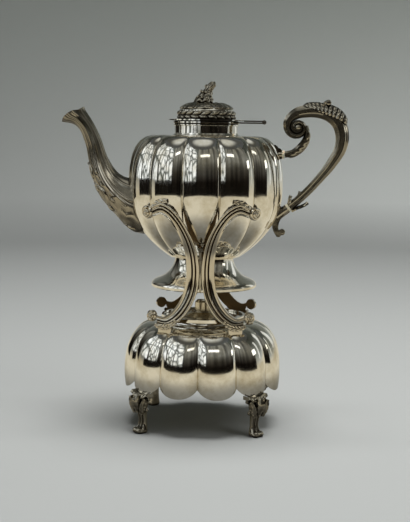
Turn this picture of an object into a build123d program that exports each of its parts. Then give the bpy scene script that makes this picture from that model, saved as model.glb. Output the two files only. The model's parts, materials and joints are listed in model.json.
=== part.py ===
from build123d import *
import os
from math import atan2, cos, exp, hypot, pi, radians, sin

# A silver kettle on its warming stand, in millimetres. The stand's axis is Z and the floor is at height 0.
# The spout points to -X, the handle to +X, and the front of the stand faces -Y.

# Clearances
SEAT = 0.3  # between curved pieces that lie on each other
PLAY = 0.05  # radial play of a pin or tenon in its bore

# Dome of the stand
DOME_R = 85.3
DOME_SKIRT_R = 83.9
DOME_CROWN_R = 50.0
DOME_EDGE_Z = 41.5
DOME_SKIRT_HEIGHT = 16.5
DOME_SHOULDER_HEIGHT = 52.5
DOME_FULLNESS = 2.3
DOME_LOBES = 12
DOME_FLUTE = 5.6
DOME_FLUTE_TOP = 0.8
DOME_SHEET = 1.4
SCALLOP_RISE = 10.0
SCALLOP_FLAT = 1.3  # half the level stretch at the bottom of each lobe
DOME_MID_Z = DOME_EDGE_Z + DOME_SKIRT_HEIGHT
DOME_TOP_Z = DOME_MID_Z + DOME_SHOULDER_HEIGHT

# Neck ring of the stand, with the ledge that carries the lamp
RING_R = 45.0
RING_HEIGHT = 7.5
RING_BORE_R = 42.6
RING_COVE = 3.4
RING_EDGE = 0.8
LEDGE_WIDTH = 2.0
LEDGE_HEIGHT = 4.0
RING_TOP_Z = DOME_TOP_Z + RING_HEIGHT
LEDGE_Z = DOME_TOP_Z + LEDGE_HEIGHT

# Lamp
LAMP_SEAT_THICKNESS = 1.2
LAMP_R = 25.0
LAMP_DEPTH = 26.0
LAMP_RIM_R = 31.0
LAMP_RIM_THICKNESS = 1.2
LAMP_SHOULDER_R = 13.0
LAMP_SHOULDER_HEIGHT = 3.6
LAMP_SHEET = 1.2
WICK_TUBE_R = 4.2
WICK_TUBE_SHEET = 0.8
WICK_TUBE_HEIGHT = 11.0
WICK_TUBE_DEPTH = 8.0
WICK_PLAY = 0.2
WICK_SHOWS = 1.6
WICK_BOTTOM_GAP = 2.0
CAP_R = 9.2
CAP_HEIGHT = 12.0
CAP_SHEET = 0.9
CAP_CHAMFER = 2.0
LAMP_Z = LEDGE_Z + LAMP_SEAT_THICKNESS + SEAT
SHOULDER_Z = LAMP_Z + LAMP_RIM_THICKNESS + LAMP_SHOULDER_HEIGHT

# Kettle foot
KETTLE_GAP = 38.1  # from the top of the dome to the kettle's foot
STEM_R = 31.0
FOOT_RIM_R = 56.5
FOOT_HEIGHT = 32.4
FOOT_RIM_EDGE = 0.8
FOOT_SHEET = 1.4
FOOT_Z = DOME_TOP_Z + KETTLE_GAP

# Kettle belly
BELLY_R = 82.6
BELLY_CROWN_R = 52.0
BOWL_HEIGHT = 75.0
BOWL_DROP = 93.0
BOWL_FULLNESS = 2.3
BOWL_TAPER = 1.2
SHOULDER_HEIGHT = 54.0
SHOULDER_FULLNESS = 2.6
KETTLE_LOBES = 16
KETTLE_FLUTE_BOTTOM = 1.4
KETTLE_FLUTE = 5.0
KETTLE_FLUTE_TOP = 2.4
KETTLE_SHEET = 1.2
BELLY_BOTTOM_Z = FOOT_Z + FOOT_HEIGHT
BELLY_MID_Z = BELLY_BOTTOM_Z + BOWL_HEIGHT
BELLY_TOP_Z = BELLY_MID_Z + SHOULDER_HEIGHT

# Kettle neck
NECK_R = 33.6
NECK_SHEET = 1.2
NECK_HEIGHT = 15.4
NECK_RIDGE_R = 35.2
NECK_RIDGE_HEIGHT = 3.2
NECK_BEAD_R = 34.8
NECK_BEAD_HEIGHT = 2.0
NECK_COVE = 2.6
NECK_BORE_R = NECK_R - NECK_SHEET
NECK_TOP_Z = BELLY_TOP_Z + NECK_HEIGHT

# Spout
SPOUT_SIDES = 8
SPOUT_SEAM = 90.0
STRAINER_HOLE_R = 1.5
STRAINER_RINGS = ((7.0, 6), (13.0, 10))
STRAINER_DROP = 20.0  # of its middle below the middle of the belly
SPOUT_SHEET = 1.1
SPOUT_LEAF_RISE = 2.4
SPOUT_LEAF_SCALLOP = 2.4

# Handle
HANDLE_SIDES = 8
HANDLE_SEAM = 22.5
HANDLE_THICKNESS = 15.0
HANDLE_DEPTH = 12.5
HANDLE_END_THICKNESS = 8.6
HANDLE_END_DEPTH = 9.0
ARM_THICKNESS = 7.0
VOLUTE_R = 12.8
VOLUTE_SHRINK = 0.1645
VOLUTE_FILL = 0.78  # share of the volute's radius that the strip is thick
VOLUTE_DEPTH = 11.0
VOLUTE_WEB_R = 8.0
VOLUTE_WEB_DEPTH = 5.0
VOLUTE_EYE_R = 3.3
VOLUTE_EYE_DEPTH = 12.0
HANDLE_LEAF_DEPTH = 11.0
FOOT_LEAF_DEPTH = 7.0
THUMB_CURL_R = 3.2
THUMB_CURL_DEPTH = 12.4

# Sockets, insulators and their pins
SOCKET_R = 4.9
SOCKET_REACH = 3.0  # from the crests of the belly to the face of the upper socket
SOCKET_SCROLL_R = 3.2
SOCKET_DEPTH = 9.0
INSULATOR_R = 4.4
INSULATOR_THICKNESS = 2.6
TENON_R = 1.8
TENON_LENGTH = 4.0
PIN_R = 0.7
PIN_LENGTH = 8.2
LOWER_SOCKET_REACH = 8.1
LOWER_SOCKET_SLOPE = 38.0
LOWER_SLEEVE_LENGTH = 15.0
LOWER_CURL_R = 3.4

# Lid
LID_FLANGE_R = 40.0
LID_FLANGE_THICKNESS = 1.2
LID_WALL_R = 29.2
LID_WALL_HEIGHT = 9.6
LID_DOME_HEIGHT = 7.0
LID_DOME_FLAT_R = 13.6
LID_DOME_BULGE = 1.6
LID_SHEET = 1.1
BEZEL_CLEARANCE = 0.8
BEZEL_DEPTH = 5.0
BEZEL_SHEET = 1.0
LID_BAND_R = 31.8
LID_BAND_FLUTE = 1.3
LID_BAND_TAPER = 0.7
LID_BAND_LOBES = 20
LID_BAND_HEIGHT = 9.0
LID_LEAVES = 8
LID_LEAF_R = 28.6
LID_LEAF_NOTCH_R = 20.0
LID_LEAF_THICKNESS = 1.6
LEAF_RING_R = 14.2
LID_Z = NECK_TOP_Z + SEAT
LID_WALL_TOP_Z = LID_Z + LID_FLANGE_THICKNESS + LID_WALL_HEIGHT
LID_TOP_Z = LID_WALL_TOP_Z + LID_DOME_HEIGHT

# Hinge of the lid
HINGE_REACH = 61.6
HINGE_WIDTH = 9.0
KNUCKLE_R = 2.3
KNUCKLE_MID_WIDTH = 3.0
KNUCKLE_SIDE_GAP = 0.3
KNUCKLE_END_GAP = 0.4
HINGE_PIN_R = 0.9
HINGE_DROP = 0.9  # of the pin below the underside of the lid's flange
STRAP_THICKNESS = 1.5
STRAP_GAP = 0.5
HINGE_Z = LID_Z - HINGE_DROP

# Finial: across from the axis, above the top of the lid, and radius of each ring of its petals
FINIAL_PETALS = 6
FINIAL_FLUTE = 0.82
FINIAL_RINGS = (
    (-3.0, 0.0, 10.4),
    (-3.2, 4.6, 10.0),
    (-1.6, 9.8, 7.4),
    (0.6, 13.6, 5.4),
    (3.2, 17.4, 5.2),
    (5.4, 21.0, 4.4),
    (6.4, 23.4, 2.6),
)
STUD_R = 1.6
NUT_R = 4.5
NUT_THICKNESS = 2.4

# Supports
SUPPORT_CLEARANCE = 2.3  # from the rim of the kettle's foot to the backs of the supports
SUPPORT_PLATE = 3.0
REED_RISE = 1.3
SCROLL_RISE = 2.2
SCROLL_RIM_RISE = 1.0
SCROLL_RIM_WIDTH = 1.8
SCROLL_EYE_RISE = 1.6
LEAF_RISE = 2.4
WAIST_SETBACK = 40.0
SUPPORT_LEVELS = 14
WAIST_HEIGHT = 61.5  # of the narrowest place, above the dome
WAIST_GAP = 1.3
BAND_WIDTH = 13.3
UPPER_SCROLL_X = 53.6
UPPER_SCROLL_DROP = 24.0
UPPER_SCROLL_R = 7.4
LOWER_SCROLL_X = 50.0
LOWER_SCROLL_RISE = 11.8
LOWER_SCROLL_R = 6.4
SCROLL_EYE_R = 2.2
CLASP_THICKNESS = 2.4
CLASP_LENGTH = 44.0
CLASP_BEAD_R = 2.3
LUG_WIDTH = 14.0
LUG_X = 37.0
SUPPORT_R = FOOT_RIM_R + SUPPORT_CLEARANCE
WAIST_Z = DOME_TOP_Z + WAIST_HEIGHT
UPPER_SCROLL_Z = BELLY_MID_Z - UPPER_SCROLL_DROP
LOWER_SCROLL_Z = DOME_TOP_Z + LOWER_SCROLL_RISE

# Feet
FEET = 4
FOOT_TOP_REACH = 13.6
TOE_SCROLL_R = 3.2
TOE_SCROLL_WIDTH = 11.0
KNEE_SCROLL_R = 3.5
KNEE_SCROLL_WIDTH = 9.0
FOOT_AXIS_R = 84.6


def belly_radius(z):
    """Radius of the lobes' crests at height z."""
    if z > BELLY_MID_Z:
        rise = (z - BELLY_MID_Z) / SHOULDER_HEIGHT
        share = (1 - rise**SHOULDER_FULLNESS) ** (1 / SHOULDER_FULLNESS)
        return BELLY_CROWN_R + (BELLY_R - BELLY_CROWN_R) * share
    drop = (BELLY_MID_Z - z) / BOWL_DROP
    return BELLY_R * (1 - drop**BOWL_FULLNESS) ** (1 / BOWL_TAPER)


def belly_flute(z):
    """Depth of the grooves between the lobes at height z."""
    if z > BELLY_MID_Z:
        rise = (z - BELLY_MID_Z) / SHOULDER_HEIGHT
        return KETTLE_FLUTE - (KETTLE_FLUTE - KETTLE_FLUTE_TOP) * rise**6
    drop = (BELLY_MID_Z - z) / BOWL_HEIGHT
    return KETTLE_FLUTE - (KETTLE_FLUTE - KETTLE_FLUTE_BOTTOM) * drop**2


def dome_radius(z):
    """Radius of the stand's lobes at height z."""
    if z > DOME_MID_Z:
        rise = (z - DOME_MID_Z) / DOME_SHOULDER_HEIGHT
        share = (1 - rise**DOME_FULLNESS) ** (1 / DOME_FULLNESS)
        return DOME_CROWN_R + (DOME_R - DOME_CROWN_R) * share
    drop = (DOME_MID_Z - z) / DOME_SKIRT_HEIGHT
    return DOME_R - (DOME_R - DOME_SKIRT_R) * drop**2


def dome_flute(z):
    """Depth of the stand's grooves at height z."""
    rise = max(0.0, (z - DOME_MID_Z) / DOME_SHOULDER_HEIGHT)
    return DOME_FLUTE - (DOME_FLUTE - DOME_FLUTE_TOP) * rise**1.6


def heights(bottom, middle, top):
    """Section heights, closer together towards the top, where the curve levels out."""
    lower = [bottom + (middle - bottom) * share for share in (0.0, 0.14, 0.32, 0.52, 0.75)]
    upper = [middle + (top - middle) * sin(radians(a)) for a in (0, 22, 42, 58, 72, 82, 90)]
    return lower + upper


def shifted(points, distance):
    """The same open curve of (across, height) points, moved by distance to the right of its run."""
    moved = []
    for i, (across, height) in enumerate(points):
        before = points[max(i - 1, 0)]
        after = points[min(i + 1, len(points) - 1)]
        run = (after[0] - before[0], after[1] - before[1])
        length = hypot(*run)
        moved.append((across + distance * run[1] / length, height - distance * run[0] / length))
    return moved


def belly_rings(grow):
    """Rings of the belly, grown square to its curve."""
    levels = heights(BELLY_BOTTOM_Z, BELLY_MID_Z, BELLY_TOP_Z)
    curve = shifted([(belly_radius(z), z) for z in levels], grow)
    curve[0] = (curve[0][0], BELLY_BOTTOM_Z - grow)
    curve[-1] = (curve[-1][0], BELLY_TOP_Z + grow)
    return [(height, r, r - belly_flute(z)) for z, (r, height) in zip(levels, curve)]


def dome_rings(grow, edge_drop):
    """Rings of the stand's dome, grown square to its curve, with the open edge lowered by edge_drop."""
    levels = heights(DOME_EDGE_Z, DOME_MID_Z, DOME_TOP_Z)
    curve = shifted([(dome_radius(z), z) for z in levels], grow)
    curve[0] = (curve[0][0], DOME_EDGE_Z - edge_drop)
    curve[-1] = (curve[-1][0], DOME_TOP_Z + grow)
    return [(height, r, r - dome_flute(z)) for z, (r, height) in zip(levels, curve)]


def polar(radius, angle):
    """Plane point at a radius and an angle in degrees."""
    return (radius * cos(radians(angle)), radius * sin(radians(angle)))


def petal_ring(crest, groove, lobes):
    """Draws a closed ring of outward arcs into the active line, with a groove on the X axis."""
    step = 360 / lobes
    for i in range(lobes):
        start = i * step
        ThreePointArc(polar(groove, start), polar(crest, start + step / 2), polar(groove, start + step))


def ridge(base, crest, bottom, top):
    """Profile points of a ridge with sloped flanks between two heights."""
    flank = (top - bottom) * 0.28
    return [(base, bottom), (crest, bottom + flank), (crest, top - flank), (base, top)]


def lobed_form(rings, lobes):
    """Solid lobed shape of (height, crest radius, groove radius) rings."""
    with BuildPart() as form:
        for z, crest, groove in rings:
            with BuildSketch(Plane.XY.offset(z)):
                with BuildLine():
                    petal_ring(crest, groove, lobes)
                make_face()
        loft(ruled=True)
    return form.part


def tube_form(rings, sides, grow, seam):
    """Panelled tube through rings of (centre, axis, thickness, depth) in the XZ plane."""
    with BuildPart() as form:
        for (x, z), (ax, az), thickness, depth in rings:
            corners = []
            for i in range(sides):
                turn = radians(seam + 360 * i / sides)
                corners.append(((depth / 2 + grow) * cos(turn), (thickness / 2 + grow) * sin(turn)))
            with BuildSketch(Plane(origin=(x, 0, z), x_dir=(0, 1, 0), z_dir=(ax, 0, az))):
                with BuildLine():
                    Polyline(*corners, close=True)
                make_face()
        loft()
    return form.part


def side_plate(points, width):
    """Plate with a smooth outline in the XZ plane, as wide along Y as width."""
    with BuildPart() as plate:
        with BuildSketch(Plane.XZ):
            with BuildLine():
                Spline(*points, periodic=True)
            make_face()
        extrude(amount=width / 2, both=True)
    return plate.part


def spout_ring(upper, lower, depth):
    """Ring of the spout from its upper and lower edge points, as reach and rise from the belly, and depth."""
    top = (-BELLY_R - upper[0], BELLY_MID_Z + upper[1])
    base = (-BELLY_R - lower[0], BELLY_MID_Z + lower[1])
    across = (top[0] - base[0], top[1] - base[1])
    return ((top[0] + base[0]) / 2, (top[1] + base[1]) / 2), (-across[1], across[0]), hypot(*across), depth


def spout_point(reach, rise):
    """Point of the spout's side view, from its reach beyond the belly and rise above the belly's middle."""
    return (-BELLY_R - reach, BELLY_MID_Z + rise)


# The spout's rings from inside the belly to the mouth: upper edge, lower edge, depth
SPOUT_RINGS = [
    spout_ring((-13.6, 6.5), (-25.6, -52.0), 36.0),
    spout_ring((-4.6, 6.0), (-5.6, -48.0), 36.0),
    spout_ring((2.4, 6.4), (9.9, -34.5), 33.0),
    spout_ring((8.9, 9.2), (23.9, -18.5), 27.0),
    spout_ring((15.2, 14.4), (34.6, -1.5), 21.5),
    spout_ring((21.0, 22.6), (39.3, 12.5), 17.5),
    spout_ring((25.6, 31.6), (42.0, 26.0), 15.0),
    spout_ring((31.8, 48.8), (45.7, 43.6), 13.2),
    spout_ring((41.7, 68.0), (55.0, 62.2), 12.6),
    spout_ring((48.6, 78.6), (63.9, 66.6), 14.0),
    spout_ring((50.6, 85.0), (76.0, 67.4), 17.0),
]
MOUTH_CUT = [spout_point(54.0, 79.4), spout_point(65.4, 76.0), spout_point(73.0, 66.2)]
MOUTH_WASTE = [spout_point(92.0, 62.0), spout_point(92.0, 104.0), spout_point(37.0, 104.0)]
SPOUT_LEAF_TIPS = [
    spout_point(38.4, -3.4),
    spout_point(22.4, -14.0),
    spout_point(12.4, -26.0),
    spout_point(0.4, -37.0),
    spout_point(-15.6, -45.0),
    spout_point(-25.6, -57.0),
]
SPOUT_LEAF_WASTE = [spout_point(-22.6, -66.0), spout_point(42.4, -66.0)]

# The sockets' faces on the side of the belly
UPPER_SOCKET_Z = BELLY_MID_Z + 35.2
UPPER_SOCKET_X = belly_radius(UPPER_SOCKET_Z) + SOCKET_REACH
LOWER_SOCKET_Z = BELLY_MID_Z - 22.0
LOWER_SOCKET_X = belly_radius(LOWER_SOCKET_Z) + LOWER_SOCKET_REACH
SOCKET_AXIS = (cos(radians(LOWER_SOCKET_SLOPE)), sin(radians(LOWER_SOCKET_SLOPE)))


def upper_point(across, rise):
    """Point of the XZ plane, from its distance beyond and above the middle of the upper socket's face."""
    return (UPPER_SOCKET_X + across, UPPER_SOCKET_Z + rise)


def lower_point(out, up=0.0):
    """Point of the XZ plane, from its distance out along the lower socket's axis and up beside it."""
    return (
        LOWER_SOCKET_X + SOCKET_AXIS[0] * out - SOCKET_AXIS[1] * up,
        LOWER_SOCKET_Z + SOCKET_AXIS[1] * out + SOCKET_AXIS[0] * up,
    )


# Middle of the grip from the lower socket up and over, with its thickness there
GRIP_STATIONS = [
    (lower_point(INSULATOR_THICKNESS), HANDLE_END_THICKNESS),
    (upper_point(18.4, -47.6), HANDLE_END_THICKNESS),
    (upper_point(28.1, -38.2), 8.7),
    (upper_point(40.6, -24.0), 9.4),
    (upper_point(53.2, -7.4), 11.4),
    (upper_point(61.4, 8.0), 13.4),
    (upper_point(62.8, 20.4), 14.6),
    (upper_point(59.2, 32.8), HANDLE_THICKNESS),
    (upper_point(49.4, 42.2), HANDLE_THICKNESS),
    (upper_point(37.2, 46.2), HANDLE_THICKNESS),
    (upper_point(24.2, 46.0), 14.0),
    (upper_point(13.4, 43.0), 12.2),
]
VOLUTE_CENTRE = upper_point(16.0, 29.0)
# Middle of the thin arm from the upper socket to the volute, with its thickness there
ARM_STATIONS = [
    (upper_point(INSULATOR_THICKNESS, 0.0), ARM_THICKNESS),
    (upper_point(11.4, 2.0), 7.6),
    (upper_point(18.4, 7.2), 8.4),
    (upper_point(23.8, 14.8), 7.4),
    (upper_point(25.6, 22.8), 6.0),
    (upper_point(24.4, 30.8), 4.6),
]


def grip_depth(thickness):
    """Depth of the grip along Y where it has this thickness."""
    share = (thickness - HANDLE_END_THICKNESS) / (HANDLE_THICKNESS - HANDLE_END_THICKNESS)
    return HANDLE_END_DEPTH + (HANDLE_DEPTH - HANDLE_END_DEPTH) * share


def volute_stations():
    """Stations of the scroll that ends the handle, along a shrinking spiral."""
    stations = []
    for turn in range(150, 571, 30):
        radius = VOLUTE_R * exp(-VOLUTE_SHRINK * radians(turn - 135))
        offset = polar(radius, turn)
        stations.append(((VOLUTE_CENTRE[0] + offset[0], VOLUTE_CENTRE[1] + offset[1]), radius * VOLUTE_FILL))
    return stations


def along(stations, first_axis):
    """Tube rings for stations of (centre, thickness, depth), each square to the line past its neighbours."""
    rings = []
    for i, (centre, thickness, depth) in enumerate(stations):
        before = stations[max(i - 1, 0)][0]
        after = stations[min(i + 1, len(stations) - 1)][0]
        axis = first_axis if i == 0 else (after[0] - before[0], after[1] - before[1])
        rings.append((centre, axis, thickness, depth))
    return rings


def handle_rings():
    """Rings of the grip and its volute."""
    grip = [(centre, thickness, grip_depth(thickness)) for centre, thickness in GRIP_STATIONS]
    scroll = [(centre, thickness, VOLUTE_DEPTH) for centre, thickness in volute_stations()]
    return along(grip + scroll, SOCKET_AXIS)


def arm_rings():
    """Rings of the thin arm from the upper socket to the volute."""
    return along([(centre, thickness, HANDLE_END_DEPTH) for centre, thickness in ARM_STATIONS], (1.0, 0.0))


# Edges of a support in front view, across from the middle and in height: the hollow side, then the waist side
SUPPORT_OUTER = [
    (UPPER_SCROLL_X - 4.6, UPPER_SCROLL_Z - 4.4),
    (UPPER_SCROLL_X - 13.6, UPPER_SCROLL_Z - 1.4),
    (UPPER_SCROLL_X - 21.0, UPPER_SCROLL_Z - 5.4),
    (UPPER_SCROLL_X - 28.0, UPPER_SCROLL_Z - 14.4),
    (WAIST_GAP + BAND_WIDTH + 4.0, WAIST_Z + 30.4),
    (WAIST_GAP + BAND_WIDTH, WAIST_Z + 10.0),
    (WAIST_GAP + BAND_WIDTH, WAIST_Z - 9.0),
    (WAIST_GAP + BAND_WIDTH + 3.8, WAIST_Z - 26.2),
    (LOWER_SCROLL_X - 25.4, LOWER_SCROLL_Z + 12.4),
    (LOWER_SCROLL_X - 17.6, LOWER_SCROLL_Z + 3.6),
    (LOWER_SCROLL_X - 10.6, LOWER_SCROLL_Z - 0.4),
    (LOWER_SCROLL_X - 3.4, LOWER_SCROLL_Z + 1.2),
]
SUPPORT_INNER = [
    (UPPER_SCROLL_X - 3.0, UPPER_SCROLL_Z + 6.2),
    (UPPER_SCROLL_X - 13.0, UPPER_SCROLL_Z + 10.2),
    (UPPER_SCROLL_X - 22.0, UPPER_SCROLL_Z + 7.0),
    (UPPER_SCROLL_X - 31.6, UPPER_SCROLL_Z - 1.4),
    (WAIST_GAP + 8.3, WAIST_Z + 37.6),
    (WAIST_GAP + 1.2, WAIST_Z + 13.0),
    (WAIST_GAP, WAIST_Z - 6.0),
    (WAIST_GAP + 3.8, WAIST_Z - 28.4),
    (LOWER_SCROLL_X - 37.6, LOWER_SCROLL_Z + 6.6),
    (LOWER_SCROLL_X - 28.0, LOWER_SCROLL_Z - 4.0),
    (LOWER_SCROLL_X - 19.0, LOWER_SCROLL_Z - 9.4),
    (LOWER_SCROLL_X - 6.4, LOWER_SCROLL_Z - 9.6),
]
# Surface on which the backs of the supports lie: height, distance of its front from the axis of the stand,
# and how far behind that axis its arc is centred
SUPPORT_BACK = [
    (DOME_TOP_Z - 14.0, SUPPORT_R, WAIST_SETBACK),
    (DOME_TOP_Z + 24.0, SUPPORT_R, WAIST_SETBACK),
    (WAIST_Z + 2.0, SUPPORT_R, WAIST_SETBACK),
    (BELLY_MID_Z - 66.0, belly_radius(BELLY_MID_Z - 66.0) + 12.4, WAIST_SETBACK * 0.65),
    (BELLY_MID_Z - 53.0, belly_radius(BELLY_MID_Z - 53.0) + 6.8, WAIST_SETBACK * 0.3),
    (BELLY_MID_Z - 40.0, belly_radius(BELLY_MID_Z - 40.0) + 3.8, WAIST_SETBACK * 0.1),
    (BELLY_MID_Z - 26.0, belly_radius(BELLY_MID_Z - 26.0) + 0.9, 0.0),
    (BELLY_MID_Z - 13.0, belly_radius(BELLY_MID_Z - 13.0) - 1.3, 0.0),
    (BELLY_MID_Z, BELLY_R - 2.0, 0.0),
]
# Reeds across a support: where each begins and ends, as shares from the hollow side to the waist side
REEDS = ((0.0, 0.4), (0.52, 0.68), (0.8, 0.98))


def between(share):
    """Edge points at a share of the way from the hollow side to the waist side of a support."""
    points = []
    for (x0, z0), (x1, z1) in zip(SUPPORT_OUTER, SUPPORT_INNER):
        points.append((x0 + (x1 - x0) * share, z0 + (z1 - z0) * share))
    return points


def support_shell(depth):
    """Curved slab in which the front supports lie, depth thick, on the +X side of the middle."""
    left = -2 * CLASP_BEAD_R
    right = UPPER_SCROLL_X + 2 * UPPER_SCROLL_R
    profile = Edge.make_spline([Vector(*point) for point in SUPPORT_BACK])
    with BuildPart() as shell:
        for i in range(SUPPORT_LEVELS + 1):
            z, front, setback = profile @ (i / SUPPORT_LEVELS)
            back, face = [
                [(x, setback - (radius**2 - x**2) ** 0.5) for x in (left, right / 2, right)]
                for radius in (front + setback, front + setback + depth)
            ]
            with BuildSketch(Plane.XY.offset(z)):
                with BuildLine():
                    ThreePointArc(*back)
                    Line(back[2], face[2])
                    ThreePointArc(*reversed(face))
                    Line(face[0], back[0])
                make_face()
        loft(ruled=True)
    return shell.part


def band_form(first, last, depth):
    """Strip of a support between two shares of its width, depth thick."""
    with BuildPart() as band:
        with BuildSketch(Plane.XZ):
            with BuildLine():
                start = between(first)
                end = between(last)
                Spline(*start)
                Line(start[-1], end[-1])
                Spline(*reversed(end))
                Line(end[0], start[0])
            make_face()
        extrude(amount=2 * BELLY_R)
        add(support_shell(depth), mode=Mode.INTERSECT)
    return band.part


def lid_arc(grow):
    """Start, middle and end of the arc of the lid's dome, grown square to it."""
    run = (LID_WALL_R - LID_DOME_FLAT_R, LID_DOME_HEIGHT)
    bulge = (LID_DOME_BULGE + grow) / hypot(*run)
    middle = ((LID_WALL_R + LID_DOME_FLAT_R) / 2, (LID_WALL_TOP_Z + LID_TOP_Z) / 2)
    return (
        (LID_WALL_R + grow, LID_WALL_TOP_Z),
        (middle[0] + bulge * run[1], middle[1] + bulge * run[0]),
        (LID_DOME_FLAT_R, LID_TOP_Z + grow),
    )


def write(piece, name):
    """Labels a finished piece and writes its STEP file."""
    piece.part.label = name
    export_step(piece.part, f"parts/{name}.step")


def pin_plane(point, axis):
    """Plane across an axis of the XZ plane, facing along it."""
    return Plane(origin=(point[0], 0, point[1]), x_dir=(0, 1, 0), z_dir=(axis[0], 0, axis[1]))


def scallop_arc():
    """Half the width and the radius of the arcs of the scalloped edge, between two lobes' level stretches."""
    reach = DOME_SKIRT_R * sin(pi / DOME_LOBES) - SCALLOP_FLAT
    return reach, (reach**2 + SCALLOP_RISE**2) / (2 * SCALLOP_RISE)


os.makedirs("parts", exist_ok=True)

belly_envelope = lobed_form(belly_rings(SEAT), KETTLE_LOBES)
dome_envelope = lobed_form(dome_rings(SEAT, 0.0), DOME_LOBES)
spout_envelope = tube_form(SPOUT_RINGS, SPOUT_SIDES, SEAT, SPOUT_SEAM)
grip_envelope = tube_form(handle_rings(), HANDLE_SIDES, SEAT, HANDLE_SEAM)

# Belly of the kettle: a lobed shell, open at the neck and pierced behind the spout
with BuildPart() as kettle_body:
    add(lobed_form(belly_rings(0.0), KETTLE_LOBES))
    add(lobed_form(belly_rings(-KETTLE_SHEET), KETTLE_LOBES), mode=Mode.SUBTRACT)
    with BuildSketch(Plane.XY.offset(BELLY_TOP_Z)):
        Circle(NECK_BORE_R)
    extrude(amount=-SHOULDER_HEIGHT / 4, mode=Mode.SUBTRACT)
    strainer_z = BELLY_MID_Z - STRAINER_DROP
    with BuildSketch(Plane(origin=(-BELLY_R, 0, strainer_z), x_dir=(0, 1, 0), z_dir=(1, 0, 0))):
        Circle(STRAINER_HOLE_R)
        for ring_r, holes in STRAINER_RINGS:
            with PolarLocations(ring_r, holes):
                Circle(STRAINER_HOLE_R)
    extrude(amount=BELLY_R / 4, mode=Mode.SUBTRACT)
write(kettle_body, "kettle_body")

# Neck of the kettle, with a cove at its root, a bead and a ridge under the lid
with BuildPart() as kettle_neck:
    ridge_z = NECK_TOP_Z - NECK_RIDGE_HEIGHT
    with BuildSketch(Plane.XZ):
        with BuildLine():
            Polyline(
                (NECK_BORE_R, BELLY_TOP_Z),
                (NECK_R + NECK_COVE, BELLY_TOP_Z),
                (NECK_R + NECK_COVE / 3, BELLY_TOP_Z + NECK_COVE / 3),
                (NECK_R, BELLY_TOP_Z + NECK_COVE),
                *ridge(NECK_R, NECK_BEAD_R, ridge_z - NECK_BEAD_HEIGHT, ridge_z),
                *ridge(NECK_R, NECK_RIDGE_R, ridge_z, NECK_TOP_Z)[1:],
                (NECK_BORE_R, NECK_TOP_Z),
                close=True,
            )
        make_face()
    revolve(axis=Axis.Z)
write(kettle_neck, "kettle_neck")

# Trumpet foot of the kettle, a hollow flaring sheet
with BuildPart() as kettle_foot:
    flare = [
        (STEM_R, BELLY_BOTTOM_Z),
        (STEM_R + 0.8, FOOT_Z + 26.6),
        (STEM_R + 3.2, FOOT_Z + 21.0),
        (STEM_R + 7.4, FOOT_Z + 15.2),
        (STEM_R + 12.6, FOOT_Z + 10.9),
        (FOOT_RIM_R - 7.0, FOOT_Z + 8.2),
        (FOOT_RIM_R - 2.4, FOOT_Z + 6.0),
        (FOOT_RIM_R, FOOT_Z + 3.0),
    ]
    hollow = shifted(flare, FOOT_SHEET)
    hollow[0] = (STEM_R - FOOT_SHEET, BELLY_BOTTOM_Z)
    hollow[-1] = (FOOT_RIM_R - 2 * FOOT_SHEET, FOOT_Z + 3.0)
    with BuildSketch(Plane.XZ):
        with BuildLine():
            Spline(*flare)
            Polyline(
                flare[-1],
                (FOOT_RIM_R, FOOT_Z + FOOT_RIM_EDGE),
                (FOOT_RIM_R - FOOT_RIM_EDGE, FOOT_Z),
                (FOOT_RIM_R - 2 * FOOT_SHEET, FOOT_Z),
                *reversed(hollow),
                flare[0],
            )
        make_face()
    revolve(axis=Axis.Z)
write(kettle_foot, "kettle_foot")

# Spout: a panelled hollow tube that is broad at its root and cut slanting at its lip
with BuildPart() as spout:
    add(tube_form(SPOUT_RINGS, SPOUT_SIDES, 0.0, SPOUT_SEAM))
    add(tube_form(SPOUT_RINGS, SPOUT_SIDES, -SPOUT_SHEET, SPOUT_SEAM), mode=Mode.SUBTRACT)
    add(belly_envelope, mode=Mode.SUBTRACT)
    with BuildSketch(Plane.XZ):
        with BuildLine():
            ThreePointArc(*MOUTH_CUT)
            Polyline(MOUTH_CUT[-1], *MOUTH_WASTE, MOUTH_CUT[0])
        make_face()
    extrude(amount=BELLY_R, both=True, mode=Mode.SUBTRACT)
write(spout, "spout")

# Leaf that lies round the underside of the spout's root, with a scalloped upper edge
with BuildPart() as spout_leaf:
    add(tube_form(SPOUT_RINGS, SPOUT_SIDES, SPOUT_LEAF_RISE, SPOUT_SEAM))
    add(spout_envelope, mode=Mode.SUBTRACT)
    add(belly_envelope, mode=Mode.SUBTRACT)
    with BuildSketch(Plane.XZ):
        with BuildLine():
            for start, end in zip(SPOUT_LEAF_TIPS, SPOUT_LEAF_TIPS[1:]):
                SagittaArc(start, end, -SPOUT_LEAF_SCALLOP)
            Polyline(SPOUT_LEAF_TIPS[-1], *SPOUT_LEAF_WASTE, SPOUT_LEAF_TIPS[0])
        make_face()
    extrude(amount=BELLY_R, both=True, mode=Mode.INTERSECT)
write(spout_leaf, "spout_leaf")

# Faces that the insulators stand on, and the middles of the tenons beyond them
UPPER_FACE = pin_plane(upper_point(0.0, 0.0), (1.0, 0.0))
LOWER_FACE = pin_plane(lower_point(0.0), SOCKET_AXIS)
UPPER_PINS = (
    upper_point(-TENON_LENGTH / 2, 0.0),
    upper_point(INSULATOR_THICKNESS + TENON_LENGTH / 2, 0.0),
)
LOWER_PINS = (lower_point(-TENON_LENGTH / 2), lower_point(INSULATOR_THICKNESS + TENON_LENGTH / 2))

# Leaf tips above and below the foot of the grip, out along it and up beside it
FOOT_LEAVES = (
    ((2.8, 3.4), (9.0, 9.4), (11.6, 8.6), (14.0, 2.0), (8.0, 0.0)),
    ((6.0, -3.4), (14.0, -6.2), (22.0, -6.8), (19.0, -1.0), (12.0, 0.0)),
)

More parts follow.
